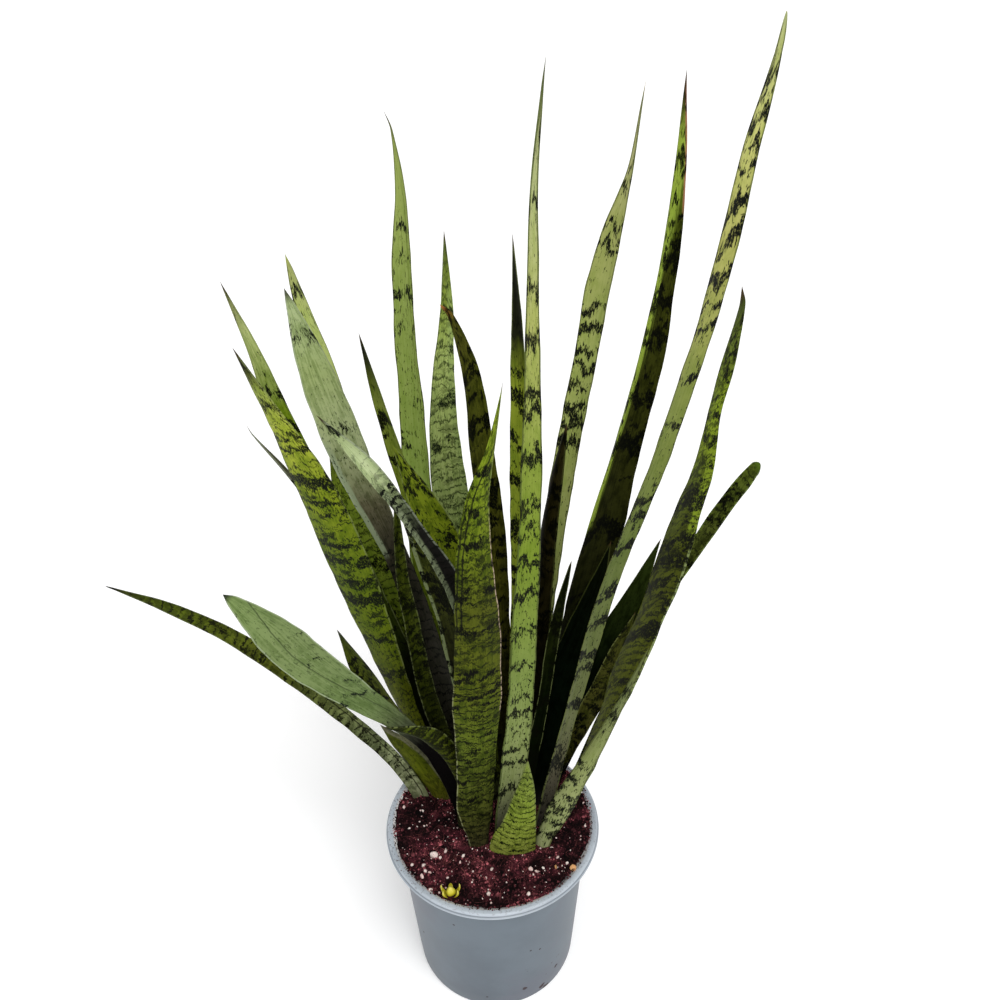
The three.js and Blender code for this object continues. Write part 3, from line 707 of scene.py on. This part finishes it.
leaf_look("leaf_front", BANDED, along=((0, 58, 54, 20), (0.12, 62, 66, 24), (0.3, 82, 94, 26),
    (0.44, 80, 88, 18), (0.6, 74, 80, 18), (0.8, 112, 130, 26), (1, 132, 150, 40)), ink=(5, 6, 2),
    blots=0.65, feather=5, bend=8, lines=0.8, line=(32, 7, 0.05, 0.43), spots=(0.852, 0.782, 0.724,
    0.627, 0.554, 0.451, 0.404, 0.366), spot=(0.018, 0.22), foot_share=0.2,
    strips=(("right", 0.36, 0.74, 0.7, (206, 180, 158), 0.75),
    ("left", 0, 0.42, 0.6, (150, 152, 110), 0.6), ("right", 0.74, 1, 0.8, (150, 160, 90), 0.5)),
    seams=(("left", 0.56, 0.9, 4.5, (18, 20, 10), 0.9),
    ("left", 0.56, 0.8, 1.2, (18, 20, 10), 0.8)), rows=((0.04, 0.44, 8.5, 1),
    (0.5, 0.88, 13, 0.85)))
leaf_look("leaf_dark_slim", GREEN, along=((0, 36, 46, 14), (0.5, 124, 138, 42),
    (0.8, 128, 140, 40), (0.87, 28, 30, 14), (1, 18, 20, 12)),
    spots=(0.83, 0.78, 0.72, 0.66, 0.58, 0.5), spot=(0.018, 0.22))
leaf_look("leaf_tall_mid", PALE, along=((0, 104, 98, 90), (0.1, 138, 146, 98), (0.3, 120, 136, 72),
    (0.5, 118, 138, 46), (0.62, 132, 148, 62), (0.78, 168, 172, 100), (0.9, 174, 180, 126),
    (1, 150, 150, 112)), blot=(6, 9), feather=10, spots=(0.89, 0.815, 0.759, 0.707, 0.684, 0.629,
    0.566, 0.531, 0.489, 0.444, 0.381, 0.328, 0.263, 0.246, 0.173, 0.148, 0.098),
    spot=(0.014, 0.26), tip=(90, 92, 70), strips=(("left", 0, 1, 1.3, (78, 92, 40), 0.8),
    ("right", 0, 1, 1, (86, 96, 50), 0.8)))
leaf_look("leaf_short_front", BANDED, slot="leaf_pale", along=((0, 126, 132, 60),
    (0.5, 124, 140, 54), (1, 118, 132, 62)), deep=(0.66, 0.72, 0.5), ink=(8, 14, 2), mottle=0.35,
    blots=0.78, feather=3, bend=6, line=(40, 6.5, 0.07, 0.32), foot_share=0,
    rows=((0, 0.9, 8, 1),))
leaf_look("leaf_tall_right", PALE, along=((0, 112, 114, 82), (0.3, 152, 160, 95),
    (0.7, 150, 158, 90), (0.85, 144, 148, 88), (0.95, 162, 160, 118), (1, 140, 124, 110)),
    blot=(7, 11), feather=10, spots=(0.907, 0.885, 0.837, 0.82, 0.737, 0.72, 0.684, 0.667, 0.642,
    0.619, 0.594, 0.569), spot=(0.014, 0.37), tip=(150, 140, 112))
# painted shade as well as dark leaf colour: a leaf nearly black in the clump's shade
leaf_look("leaf_shade_slim", DARK, along=((0, 14, 12, 6), (0.5, 34, 30, 12), (0.8, 36, 32, 12),
    (1, 40, 36, 16)), blots=0.56)
# painted light and shade: the broad pale strip on the left margin is the lit flank of the folded
# blade, and the near-black tones along the rest of it are its shaded flank
leaf_look("leaf_tall_dark", DARK, along=((0, 12, 12, 4), (0.3, 24, 26, 8), (0.55, 38, 40, 10),
    (0.8, 50, 54, 12), (0.9, 76, 90, 22), (1, 60, 42, 28)), flecks=0.9, spots=(0.905, 0.862, 0.845,
    0.792, 0.747, 0.704, 0.624, 0.564, 0.434), spot=(0.016, 0.28),
    strips=(("left", 0.46, 0.93, 15, (146, 168, 62), 0.95),
    ("right", 0.86, 1, 1.2, (164, 110, 84), 0.8)))
leaf_look("leaf_tallest", PALE, along=((0, 58, 56, 44), (0.12, 80, 76, 60), (0.22, 92, 96, 64),
    (0.5, 92, 104, 52), (0.7, 120, 130, 64), (0.84, 170, 168, 96), (0.93, 188, 188, 114),
    (1, 172, 178, 120)), spots=(0.952, 0.932, 0.912, 0.897, 0.86, 0.84, 0.807, 0.782, 0.759, 0.709,
    0.654, 0.559, 0.543, 0.499, 0.429, 0.383, 0.331, 0.303, 0.246, 0.143), spot=(0.013, 0.32),
    tip=(150, 158, 108), tip_reach=0.01)
leaf_look("leaf_right_front", BANDED, along=((0, 52, 56, 16), (0.3, 66, 72, 14), (0.6, 62, 68, 14),
    (0.72, 70, 80, 20), (0.8, 106, 122, 30), (0.93, 90, 104, 36), (1, 40, 48, 16)),
    deep=(0.66, 0.66, 0.5), blots=0.6, blot=(8, 6), feather=4, flecks=1, lines=0.8,
    line=(30, 10, 0.06, 0.44), spots=(0.945, 0.92, 0.885, 0.857, 0.822, 0.792, 0.694, 0.624, 0.586,
    0.546, 0.441, 0.328), spot=(0.018, 0.24),
    strips=(("right", 0, 0.66, 1.6, (136, 150, 92), 0.85),
    ("right", 0.64, 0.86, 7, (124, 144, 34), 0.9)), rows=((0.1, 0.62, 11, 0.8),
    (0.66, 0.95, 6, 0.7)))
leaf_look("leaf_right_back", DARK, along=((0, 20, 28, 8), (0.4, 64, 72, 28), (0.8, 68, 76, 28),
    (1, 72, 84, 26)), blots=0.58, flecks=0.8, lines=0.5, line=(30, 10, 0.07, 0.44),
    tip=(66, 84, 24), strips=(("right", 0, 1, 1.2, (116, 134, 66), 0.8),
    ("left", 0.4, 1, 1, (90, 110, 40), 0.7)), rows=((0.3, 0.98, 9, 0.8),))
leaf_look("leaf_pale_right", PALE, along=((0, 148, 154, 110), (0.5, 128, 136, 84),
    (0.8, 102, 110, 70), (1, 104, 110, 68)), flecks=0.9, spots=(0.108, 0.16, 0.22, 0.288, 0.45,
    0.677, 0.79), spot=(0.036, 0.24), foot_share=0)
# painted shade as well as dark leaf colour: these three leaves, deep in the clump, are nearly
# black
leaf_look("leaf_small_spear", BANDED, along=((0, 8, 12, 4), (0.5, 13, 20, 5), (0.8, 28, 34, 10),
    (1, 14, 18, 6)), blots=0.55, lines=0.9, shine=0)
leaf_look("leaf_broad_dark", DARK, along=((0, 6, 10, 4), (0.5, 6, 14, 6), (1, 12, 16, 6)),
    streak=0.9, blots=0.72, shine=0)
leaf_look("leaf_right_dark", DARK, along=((0, 3, 5, 3), (0.5, 5, 11, 4), (1, 36, 46, 14)),
    blots=0.7, shine=0)
leaf_look("leaf_olive_slim", BANDED, along=((0, 40, 38, 12), (0.5, 86, 86, 36), (1, 58, 62, 18)),
    blots=0.58, lines=0.9, strips=(("left", 0, 1, 0.9, (130, 136, 76), 0.7),))
leaf_look("leaf_mid_slim", BANDED, along=((0, 14, 16, 4), (0.5, 58, 66, 16), (1, 74, 84, 22)),
    blots=0.57, lines=0.6, line=(30, 10, 0.07, 0.44), rows=((0.2, 0.95, 8, 0.9),))
leaf_look("leaf_mid_dark", DARK, along=((0, 10, 10, 8), (0.5, 22, 20, 10), (0.8, 60, 66, 20),
    (1, 84, 92, 40)), blots=0.53, flecks=0.8,
    strips=(("left", 0.3, 0.95, 3, (128, 140, 96), 0.8),))


for number, (node, look) in enumerate(LEAVES.items()):
    leaf, leaf_length = make_leaf(node, number * 3.7 + 1.3)
    leaf.data.materials.append(leaf_material(node + "_skin", look, leaf_length, number + 1.0))
    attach(leaf, "root")
    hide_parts(node)


# ---- pot: a thin blue-grey plastic wall with a rolled rim

def wall_radius(height):
    return BASE_RADIUS + (NECK_RADIUS - BASE_RADIUS) * height / RIM_BOTTOM


def inside_radius(height):
    if height < RIM_BOTTOM:
        return wall_radius(height) - WALL
    share = min(1, (height - RIM_BOTTOM) / (POT_HEIGHT - 1 - RIM_BOTTOM))
    return NECK_RADIUS - WALL + share * (RIM_RADIUS - RIM_WIDTH - NECK_RADIUS + WALL)


POT_SIDES = 192
DRAIN_SIDES = 32


def pot_profile():
    """Radius and height from the middle of the underside, over the rim, to the inner floor."""
    top, bead, rim = POT_HEIGHT, RIM_BOTTOM + BEAD_HEIGHT, RIM_RADIUS
    lip = rim - RIM_WIDTH
    base = [(0, 0), (40, 0), (BASE_RADIUS - 6, 0), (BASE_RADIUS - 3, 0)]
    base += [(BASE_RADIUS - 3 + 3 * math.sin(a), 3 - 3 * math.cos(a))
             for a in np.radians((30, 60, 90))]
    wall = [(wall_radius(h), h) for h in (20, 50, 80, 110, 140, 165, 180, RIM_BOTTOM - 1)]
    outside = [
        (NECK_RADIUS + 0.2, RIM_BOTTOM - 0.3), (NECK_RADIUS + 1, RIM_BOTTOM),
        (rim - 1.4, RIM_BOTTOM), (rim - 0.6, RIM_BOTTOM + 0.15), (rim - 0.1, RIM_BOTTOM + 0.6),
        (rim, RIM_BOTTOM + 1.0), (rim - 0.05, bead - 0.5), (rim - 0.4, bead - 0.05),
        (rim - 2.2, bead + 0.1), (rim - 2.3, bead + 0.8), (rim - 1.4, bead + 0.95)]
    over = [
        (rim - 1.4, top - 2), (rim - 1.6, top - 1.1), (rim - 2.1, top - 0.4),
        (rim - 3, top - 0.05), (rim - 4, top), (rim - 5.2, top), (lip + 1.3, top - 0.1),
        (lip + 0.4, top - 0.5), (lip, top - 1.1)]
    inside = [(inside_radius(h), h) for h in (189.5, RIM_BOTTOM, 180, 100)]
    bottom = [(BASE_RADIUS + 1 - WALL, FLOOR + 2), (BASE_RADIUS - 1 - WALL, FLOOR),
              (40, FLOOR), (0, FLOOR)]
    return base + wall + outside + over + inside + bottom


def drain_cutter():
    points = []
    faces = []
    for hole in range(DRAIN_COUNT):
        centre = polar(DRAIN_RING, 2 * math.pi * (hole + 0.5) / DRAIN_COUNT)
        low = range(len(points), len(points) + DRAIN_SIDES)
        high = range(low.stop, low.stop + DRAIN_SIDES)
        for height in (-FLOOR, 2 * FLOOR):
            points += circle(DRAIN_RADIUS, height, DRAIN_SIDES, centre)
        faces += [tuple(reversed(low)), tuple(high)] + joined([low, high])
    points = [(x * MM, y * MM, z * MM) for x, y, z in points]
    return make_object("drain_cutter", points, faces, smooth=False)


def make_pot():
    pot = closed_skin("moulded_pot", [
        circle(radius, height, POT_SIDES) for radius, height in pot_profile()])
    cutter = drain_cutter()
    drains = pot.modifiers.new("drains", "BOOLEAN")
    drains.operation = "DIFFERENCE"
    drains.object = cutter
    drains.solver = "EXACT"
    seen = bpy.context.evaluated_depsgraph_get()
    cut = bpy.data.meshes.new_from_object(pot.evaluated_get(seen))
    pot.modifiers.clear()
    pot.data = cut
    bpy.data.objects.remove(cutter)
    return pot


# rubbed-off soil that shows on the wall: bearing in degrees, height, size
SMUDGES = ((-149, 78, 2.6), (-117, 145, 1.3), (-69, 96, 1.6), (-62, 90, 1.4), (-45, 28, 3.0),
           (-58, 10, 5.0), (-72, 25, 3.2), (-99, 17, 1.6), (-27, 77, 2.2), (-54, 4, 5.5),
           (38, 60, 3.0), (95, 110, 2.2), (150, 30, 3.4))


# where the pot's painted light and shade lie, in millimetres: the groove above the rim's
# bead, outside, painted darker, and the inner flare, painted lighter
GROOVE_HEIGHT = 189.5
OUTER_RADII = (102.5, 103)
FLARE_RADII = (99.8, 98.4)
FLARE_HEIGHTS = (187, 188.5)


def pot_material():
    shader = Shader("satin_grey_plastic", specular=0.4)
    times, step, mix = shader.times, shader.step, shader.mix
    place = shader.place()
    x, y, height = shader.parts(place)
    radius = shader.math("POWER", shader.add(times(x, x), times(y, y)), 0.5)

    def reached(value, places):
        """0 to 1 between two places in millimetres."""
        return step(value, places[0] * MM, places[1] * MM)

    # painted light and shade: a body darker downward, a rim painted lighter as lit from above, a
    # groove painted dark and an inner flare painted whitish
    base = shader.stops(height, [
        (0.0, linear(66, 76, 86)), (0.1, linear(77, 88, 98)),
        (0.185, linear(84, 96, 106)), (0.1868, linear(84, 96, 106)),
        (0.1872, linear(160, 168, 176)), (0.1935, linear(180, 188, 196))])
    # painted shade: the groove above the bead is darkened
    groove_shade = step(shader.distance(height, GROOVE_HEIGHT * MM), 0.35 * MM, 0.6 * MM, 0.85, 0.0)
    base = mix(times(groove_shade, reached(radius, OUTER_RADII)), base, linear(74, 82, 92))
    # painted light: the inner flare turns nearly white
    flare_light = times(reached(radius, FLARE_RADII), reached(height, FLARE_HEIGHTS))
    base = mix(flare_light, base, linear(236, 234, 232))
    cloud = shader.noise(place, 14, 4, 0.6)
    colour = mix(step(cloud, 0.35, 0.7, 0.0, 0.35), base, linear(104, 116, 125))
    stain = shader.noise(shader.stretched(place, (9, 9, 14)), 1, 3, 0.6)
    stain = times(step(stain, 0.48, 0.68), step(height, 0.18, 0.186, 0.55, 0.0))
    colour = mix(stain, colour, linear(82, 84, 96))
    # rubbed soil: brown smears in some patches, specks, and the smudges listed above
    smear = shader.noise(shader.stretched(place, (60, 60, 90)), 1, 5, 0.75)
    patch = shader.noise(place, 9, 2, 0.5)
    dirty = times(step(smear, 0.64, 0.70), step(patch, 0.50, 0.62))
    specks = shader.noise(shader.stretched(place, (700, 700, 900)), 1, 2, 0.6)
    speck = times(step(specks, 0.74, 0.78), step(patch, 0.42, 0.6))
    dirt = shader.math("MAXIMUM", dirty, speck)
    for bearing, up, size in SMUDGES:
        across, away = polar(wall_radius(up), math.radians(bearing))
        spot = (across * MM, away * MM, up * MM)
        gap = shader.node("VectorMath", place, spot, operation="DISTANCE").outputs["Value"]
        gap = shader.math("MULTIPLY_ADD", smear, -size * 3 * MM, gap)
        smudge = step(gap, -size * 0.9 * MM, -size * 0.6 * MM, 1.0, 0.0)
        dirt = shader.math("MAXIMUM", dirt, smudge)
    colour = mix(times(dirt, 0.85), colour, linear(58, 40, 40))
    # dust on top of the rim, more of it to the left
    rim = reached(height, (POT_HEIGHT - 1.6, POT_HEIGHT - 0.4))
    dust = step(shader.noise(place, 420, 3, 0.7), 0.56, 0.62)
    leftward = step(x, -0.06, -0.09, 0.35, 0.9)
    colour = mix(times(times(dust, rim), leftward), colour, linear(70, 46, 50))
    rough = shader.math("MULTIPLY_ADD", cloud, 0.14, 0.36)
    shader.rough(shader.math("MAXIMUM", rough, times(dirt, 0.9)))
    return shader.done(colour, shader.noise(place, 1500, 2, 0.5), 0.12, 0.08 * MM)


pot = make_pot()
pot.data.materials.append(pot_material())
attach(pot, "root")
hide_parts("pot")


# ---- potting soil: a crumbly bed with loose crumbs, coir fibres and perlite

SOIL_SIDES = 220
SOIL_RINGS = 64
BED_RADIUS = 96.6
BRIM_RADIUS = 98
# the hidden part under the bed as (radius, height)
SOIL_BODY = ((91.2, 188), (91.2, RIM_BOTTOM - 1), (BASE_RADIUS - WALL - 1, 8),
             (BASE_RADIUS - WALL - 3, FLOOR + 0.4), (0, FLOOR + 0.4))


def soil_height(x, y):
    """Height in millimetres of the bed at a place in millimetres."""
    reach = min(1, math.hypot(x, y) / BRIM_RADIUS)
    heap = SOIL_HEAP * max(0, (x + 0.4 * y) / RIM_RADIUS)
    brim = SOIL_BRIM * reach ** 4
    slow = noise.noise(Vector((x / 17, y / 17, 0.7))) * 2.2
    crumb = noise.fractal(Vector((x / 5, y / 5, 3.1)), 0.8, 2.1, 4) * 1.3
    return SOIL_TOP + heap + brim + slow + crumb


def edge_radius(turn):
    """The bed's irregular edge against the pot's flared wall."""
    push = noise.noise(Vector((math.cos(turn) * 3, math.sin(turn) * 3, 9.2)))
    fine = noise.noise(Vector((math.cos(turn) * 16, math.sin(turn) * 16, 4.4)))
    return BED_RADIUS + 1.6 * push + 0.9 * fine


def make_soil_bed():
    rings = [[(0, 0, soil_height(0, 0))]]
    for ring in range(1, SOIL_RINGS + 1):
        turns = [2 * math.pi * side / SOIL_SIDES for side in range(SOIL_SIDES)]
        places = [polar(edge_radius(turn) * (ring / SOIL_RINGS), turn) for turn in turns]
        rings.append([(x, y, soil_height(x, y)) for x, y in places])
    rings += [circle(radius, height, SOIL_SIDES) for radius, height in SOIL_BODY]
    return closed_skin("soil_bed", rings)


def lump(centre, size, flat, seed, detail=1):
    """Points and faces of one rough grain."""
    work = bmesh.new()
    bmesh.ops.create_icosphere(work, subdivisions=detail, radius=1.0)
    turn = Matrix.Rotation(seed * 2.399, 3, "Z") @ Matrix.Rotation(seed * 1.3, 3, "X")
    shape = Vector((1.0 + 0.35 * math.sin(seed * 3.7), 1.0 + 0.35 * math.sin(seed * 5.1), flat))
    points = []
    for vertex in work.verts:
        spot = vertex.co
        rough = 1 + 0.45 * noise.noise(spot * 1.3 + Vector((seed, seed * 0.7, 0)))
        grown = turn @ Vector((spot.x * shape.x, spot.y * shape.y, spot.z * shape.z)) * rough
        points.append(centre + grown * size)
    faces = [tuple(vertex.index for vertex in face.verts) for face in work.faces]
    work.free()
    return points, faces


class Heap:
    """Gathers many small grains into one mesh, with a shade number for each grain."""

    def __init__(self):
        self.points = []
        self.faces = []
        self.shades = []

    def add(self, points, faces, shade):
        start = len(self.points)
        self.points += [point * MM for point in points]
        self.faces += [tuple(start + index for index in face) for face in faces]
        self.shades += [shade] * len(points)

    def build(self, name, smooth):
        made = make_object(name, self.points, self.faces, smooth)
        shade = made.data.attributes.new("shade", "FLOAT", "POINT")
        shade.data.foreach_set("value", np.array(self.shades, np.float32))
        return made


CRUMBS = 8500
FIBRES = 620
SMALL_PERLITE = 260
FIBRE_STEPS = 7
CRUMB_REACH = 97.5
GRAIN_REACH = 95
FIBRE_REACH = 96.5
# crumbs that lie on the pot's flare stay small and above it
FLARE_START = 96
FLARE_REST = 192.4


def random_place(pick, reach):
    """A bearing and a distance from the middle, even over a disc."""
    return pick.uniform(0, 2 * math.pi), reach * math.sqrt(pick.random())


def make_crumbs():
    heap = Heap()
    pick = random.Random(11)
    for index in range(CRUMBS):
        turn, radius = random_place(pick, CRUMB_REACH)
        if pick.random() < 0.12:
            radius = pick.uniform(94, 100)
        x, y = polar(radius, turn)
        size = min(2.2, 0.35 + pick.expovariate(3.4))
        z = soil_height(x, y) + 0.25 * size
        if radius > FLARE_START:
            z = max(z, FLARE_REST)
            size = min(size, 1.1)
        points, faces = lump(Vector((x, y, z)), size, pick.uniform(0.5, 1.0), index * 0.37)
        heap.add(points, faces, pick.random() ** 2.4)
    return heap.build("soil_crumbs", False)


def make_fibres():
    heap = Heap()
    pick = random.Random(23)
    for _ in range(FIBRES):
        turn, radius = random_place(pick, GRAIN_REACH)
        spot = Vector((*polar(radius, turn), 0))
        heading = pick.uniform(0, 2 * math.pi)
        bend = pick.uniform(-0.35, 0.35)
        length = pick.uniform(5, 20)
        thick = pick.uniform(0.12, 0.3)
        lift = pick.uniform(0.2, 2.4)
        rings = []
        for step in range(FIBRE_STEPS + 1):
            share = step / FIBRE_STEPS
            heading += bend
            spot = spot + Vector((*polar(1, heading), 0)) * (length / FIBRE_STEPS)
            if spot.xy.length > FIBRE_REACH:
                break
            z = soil_height(spot.x, spot.y) + thick + lift * math.sin(math.pi * share) ** 2
            centre = Vector((spot.x, spot.y, z))
            side = Vector((-math.sin(heading), math.cos(heading), 0))
            narrow = thick * (1 - 0.7 * share)
            rings.append([centre + side * narrow, centre - side * narrow,
                          centre + Vector((0, 0, 1.6 * narrow))])
        if len(rings) < 3:
            continue
        numbers = ring_numbers(rings)
        faces = [tuple(numbers[0])] + joined(numbers) + [tuple(reversed(numbers[-1]))]
        heap.add([point for ring in rings for point in ring], faces, pick.random())
    return heap.build("coir_fibres", True)


PERLITE = (
    (-70, 18, 1.6), (-89, 21, 1.6), (-83, -4, 1.5), (-58, -36, 3.0), (-52, -39, 2.0),
    (-47, -32, 1.6), (-30, -38, 1.7), (-33, -45, 1.5), (-68, -47, 1.8), (-79, -46, 1.4),
    (-66, -55, 2.2), (-69, -61, 2.0), (-62, -56, 1.6), (-45, -61, 1.2), (-61, -74, 1.6),
    (-53, -77, 1.4), (-7, -81, 2.2), (-3, -54, 1.4), (-21, -55, 1.3), (30, -84, 1.9),
    (34, -58, 2.0), (39, -61, 1.6), (46, -58, 1.3), (61, -46, 1.7), (69, -55, 1.8),
    (56, -35, 1.4), (91, -16, 1.5), (92, 25, 1.4), (-9, -63, 1.2), (-5, -90, 1.2),
)
BARK = ((74, -61, 2.6), (58, -57, 2.4))


def make_perlite():
    heap = Heap()
    pick = random.Random(37)
    grains = list(PERLITE)
    for _ in range(SMALL_PERLITE):
        turn, radius = random_place(pick, GRAIN_REACH)
        grains.append((*polar(radius, turn), pick.uniform(0.35, 0.9)))
    for index, (x, y, size) in enumerate(grains):
        centre = Vector((x, y, soil_height(x, y) + 0.5 * size))
        points, faces = lump(centre, size, pick.uniform(0.6, 0.95), index * 0.61 + 2, 2)
        heap.add(points, faces, pick.random())
    return heap.build("perlite_grains", True)


def make_bark():
    heap = Heap()
    for index, (x, y, size) in enumerate(BARK):
        centre = Vector((x, y, soil_height(x, y) + 0.6))
        points, faces = lump(centre, size, 0.4, index * 1.9 + 4, 2)
        heap.add(points, faces, 0.3 + 0.4 * index)
    return heap.build("bark_bits", True)


def soil_material(name, dark, light, extra=0.0):
    """Crumbly brown between two colours; extra is how much each grain's own shade counts."""
    shader = Shader(name, roughness=0.95, specular=0.12)
    place = shader.place()
    cloud = shader.noise(place, 95, 5, 0.7)
    grain = shader.noise(place, 650, 4, 0.7)
    mixed = shader.math("MULTIPLY_ADD", cloud, 1.1, shader.times(grain, 0.9))
    if extra:
        mixed = shader.math("MULTIPLY_ADD", shader.shade(), extra, mixed)
    colour = shader.mix(shader.step(mixed, 0.82, 1.3 + extra), linear(*dark), linear(*light))
    # damp patches, and painted light that makes the bed lighter towards the back
    damp = shader.step(shader.noise(place, 30, 3, 0.6), 0.40, 0.62, 0.14, 1.0)
    damp_and_painted_light = shader.times(damp, shader.step(shader.parts(place)[1], 0.0, 0.07, 1.0, 1.45))
    colour = shader.mix(1.0, colour, shader.vector(damp_and_painted_light, damp_and_painted_light, damp_and_painted_light), "MULTIPLY")
    return shader.done(colour, grain, 0.8, 0.8 * MM)


def perlite_material():
    shader = Shader("perlite", roughness=0.9, specular=0.2)
    place = shader.place()
    pits = shader.noise(place, 1200, 3, 0.7)
    stain = shader.noise(place, 300, 3, 0.6)
    colour = shader.mix(shader.shade(), linear(232, 222, 214), linear(214, 182, 176))
    colour = shader.mix(shader.step(stain, 0.5, 0.7, 0.0, 0.6), colour, linear(150, 96, 88))
    return shader.done(colour, pits, 0.9, 0.5 * MM)


def bark_material():
    shader = Shader("bark", roughness=0.85, specular=0.2)
    fibre = shader.noise(shader.stretched(shader.place(), (900, 250, 400)), 1, 3, 0.6)
    colour = shader.mix(fibre, linear(150, 96, 60), linear(226, 178, 122))
    return shader.done(colour, fibre, 0.7, 0.4 * MM)


bed = make_soil_bed()
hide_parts("soil")
for piece, material in (
        (bed, soil_material("soil", (4, 0, 2), (102, 44, 54))),
        (make_crumbs(), soil_material("soil_crumb", (5, 0, 2), (212, 116, 124), 0.9)),
        (make_fibres(), soil_material("coir", (58, 20, 24), (184, 108, 104), 1.2)),
        (make_perlite(), perlite_material()),
        (make_bark(), bark_material())):
    piece.data.materials.append(material)
    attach(piece, "root")


# ---- the yellow shoot: an oval heart among five bracts, the one at the back low

# each bract's middle line as (distance out, height, width), and the bracts as (bearing, rise)
BRACT_STATIONS = ((1.5, 0.0, 3.0), (6.0, 2.0, 4.6), (8.4, 6.5, 3.8), (8.8, 10.5, 2.2),
                  (8.2, 14.0, 0.2))
BRACTS = ((172, 1.0), (8, 1.0), (216, 0.9), (324, 0.9), (92, 0.35))
BRACT_ROWS = 17
HEART_SIDES = 24
HEART_RADIUS = 4.4
HEART_HEIGHT = 12.0
BASE_OF_HEART = 4.6


def bract(bearing, tall):
    """Sections of one curved, pointed bract from its foot up."""
    stations = np.array(BRACT_STATIONS)
    knots = np.arange(len(stations), dtype=float)
    outward = Vector((*polar(1, math.radians(bearing)), 0))
    sideways = Vector((outward.y, -outward.x, 0))
    rows = []
    for knot in np.linspace(0, len(stations) - 1, BRACT_ROWS):
        reach, height, width = smooth_rows(stations[:, None], knots, np.array([knot]))[0, 0]
        width = max(width, 0.25)
        centre = SHOOT_PLACE + outward * reach + Vector((0, 0, height * tall))
        thick = 1.1 if width > 1 else 0.4
        face = []
        for side in (1, -1):
            for across in np.linspace(-side, side, 7):
                inset = side * thick * (1 - 0.7 * across * across) / 2
                curl = 1.0 * across * across * width / 5
                face.append(centre + sideways * (across * width / 2)
                            - outward * (inset + curl))
        rows.append(face)
    return rows


def make_shoot():
    heart = []
    for share in np.linspace(0.02, 0.98, 15):
        radius = HEART_RADIUS * math.sin(math.pi * share ** 0.85) ** 0.75
        ring = []
        for side in range(HEART_SIDES):
            turn = 2 * math.pi * side / HEART_SIDES
            ridge = 1 + 0.07 * math.cos(3 * turn + 1.5 * share)
            ring.append(SHOOT_PLACE + Vector((radius * ridge * math.cos(turn),
                                              radius * ridge * math.sin(turn),
                                              HEART_HEIGHT * share - 1)))
        heart.append(ring)
    base = []
    for share in np.linspace(0.0, 1.0, 7):
        radius = BASE_OF_HEART * math.sqrt(max(0.02, 1 - share ** 2))
        base.append([SHOOT_PLACE + Vector((*polar(radius, turn), -3 + 6.5 * share))
                     for turn in np.linspace(0, 2 * math.pi, HEART_SIDES, endpoint=False)])
    points = []
    faces = []
    for rows in (*(bract(*one) for one in BRACTS), heart, base):
        start = len(points)
        points += [point * MM for row in rows for point in row]
        rings = [range(start + ring.start, start + ring.stop) for ring in ring_numbers(rows)]
        faces += joined(rings) + [tuple(reversed(rings[0])), tuple(rings[-1])]
    return turn_outward(make_object("yellow_bud", points, faces))


def shoot_material():
    shader = Shader("waxy_yellow", roughness=0.38, specular=0.4)
    place = shader.place()
    rise = shader.parts(place)[2]
    streaks = shader.noise(shader.stretched(place, (900, 900, 160)), 1, 3, 0.6)
    base = shader.stops(shader.math("MULTIPLY_ADD", rise, 50.0, -9.4), [
        (0.0, linear(140, 128, 26)), (0.35, linear(196, 186, 48)), (1.0, linear(236, 226, 140))])
    colour = shader.mix(shader.step(streaks, 0.45, 0.75, 0.0, 0.45), base, linear(176, 170, 24))
    return shader.done(colour, streaks, 0.4, 0.3 * MM)


shoot = make_shoot()
shoot.data.materials.append(shoot_material())
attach(shoot, "root")
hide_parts("yellow_shoot")


# ---- plain pale floor and soft studio light

FLOOR_REACH = 40.0
FLOOR_GLOW = 0.16


def make_floor():
    reach, low = FLOOR_REACH, -0.2 * MM
    floor = make_object("floor", [(-reach, -reach, low), (reach, -reach, low),
                                  (reach, reach, low), (-reach, reach, low)], [(0, 1, 2, 3)])
    shader = Shader("pale_floor", roughness=0.9, specular=0.1)
    tone = shader.noise(shader.place(), 3, 2, 0.5)
    shader.colour(shader.mix(tone, grey(0.88), grey(0.92)))
    shader.surface.inputs["Emission Color"].default_value = grey(1.0)
    shader.surface.inputs["Emission Strength"].default_value = FLOOR_GLOW
    floor.data.materials.append(shader.material)


# the studio light fades upward: from and to a height, from and to a strength
SKY = (0.05, 0.5, 1.05, 0.42)
# soft suns as (name, strength, spread, tilt, turn), in degrees
SUNS = (("key", 2.2, 40, 34, 25), ("fill", 0.5, 60, 60, -60))


def make_light():
    world = bpy.data.worlds.new("studio")
    scene.world = world
    world.use_nodes = True
    back = world.node_tree.nodes["Background"]
    back.inputs["Color"].default_value = (1, 1, 1, 1)
    # brightest at the horizon, so that the floor has no edge against it
    sky = Nodes(world.node_tree)
    rise = sky.parts(sky.node("TexCoord").outputs["Generated"])[2]
    sky.feed(back.inputs["Strength"], sky.step(rise, *SKY))
    for name, energy, angle, tilt, turn in SUNS:
        data = bpy.data.lights.new(name, "SUN")
        data.energy = energy
        data.angle = math.radians(angle)
        light = bpy.data.objects.new(name, data)
        scene.collection.objects.link(light)
        light.rotation_euler = (math.radians(tilt), 0, math.radians(turn))


make_floor()
make_light()
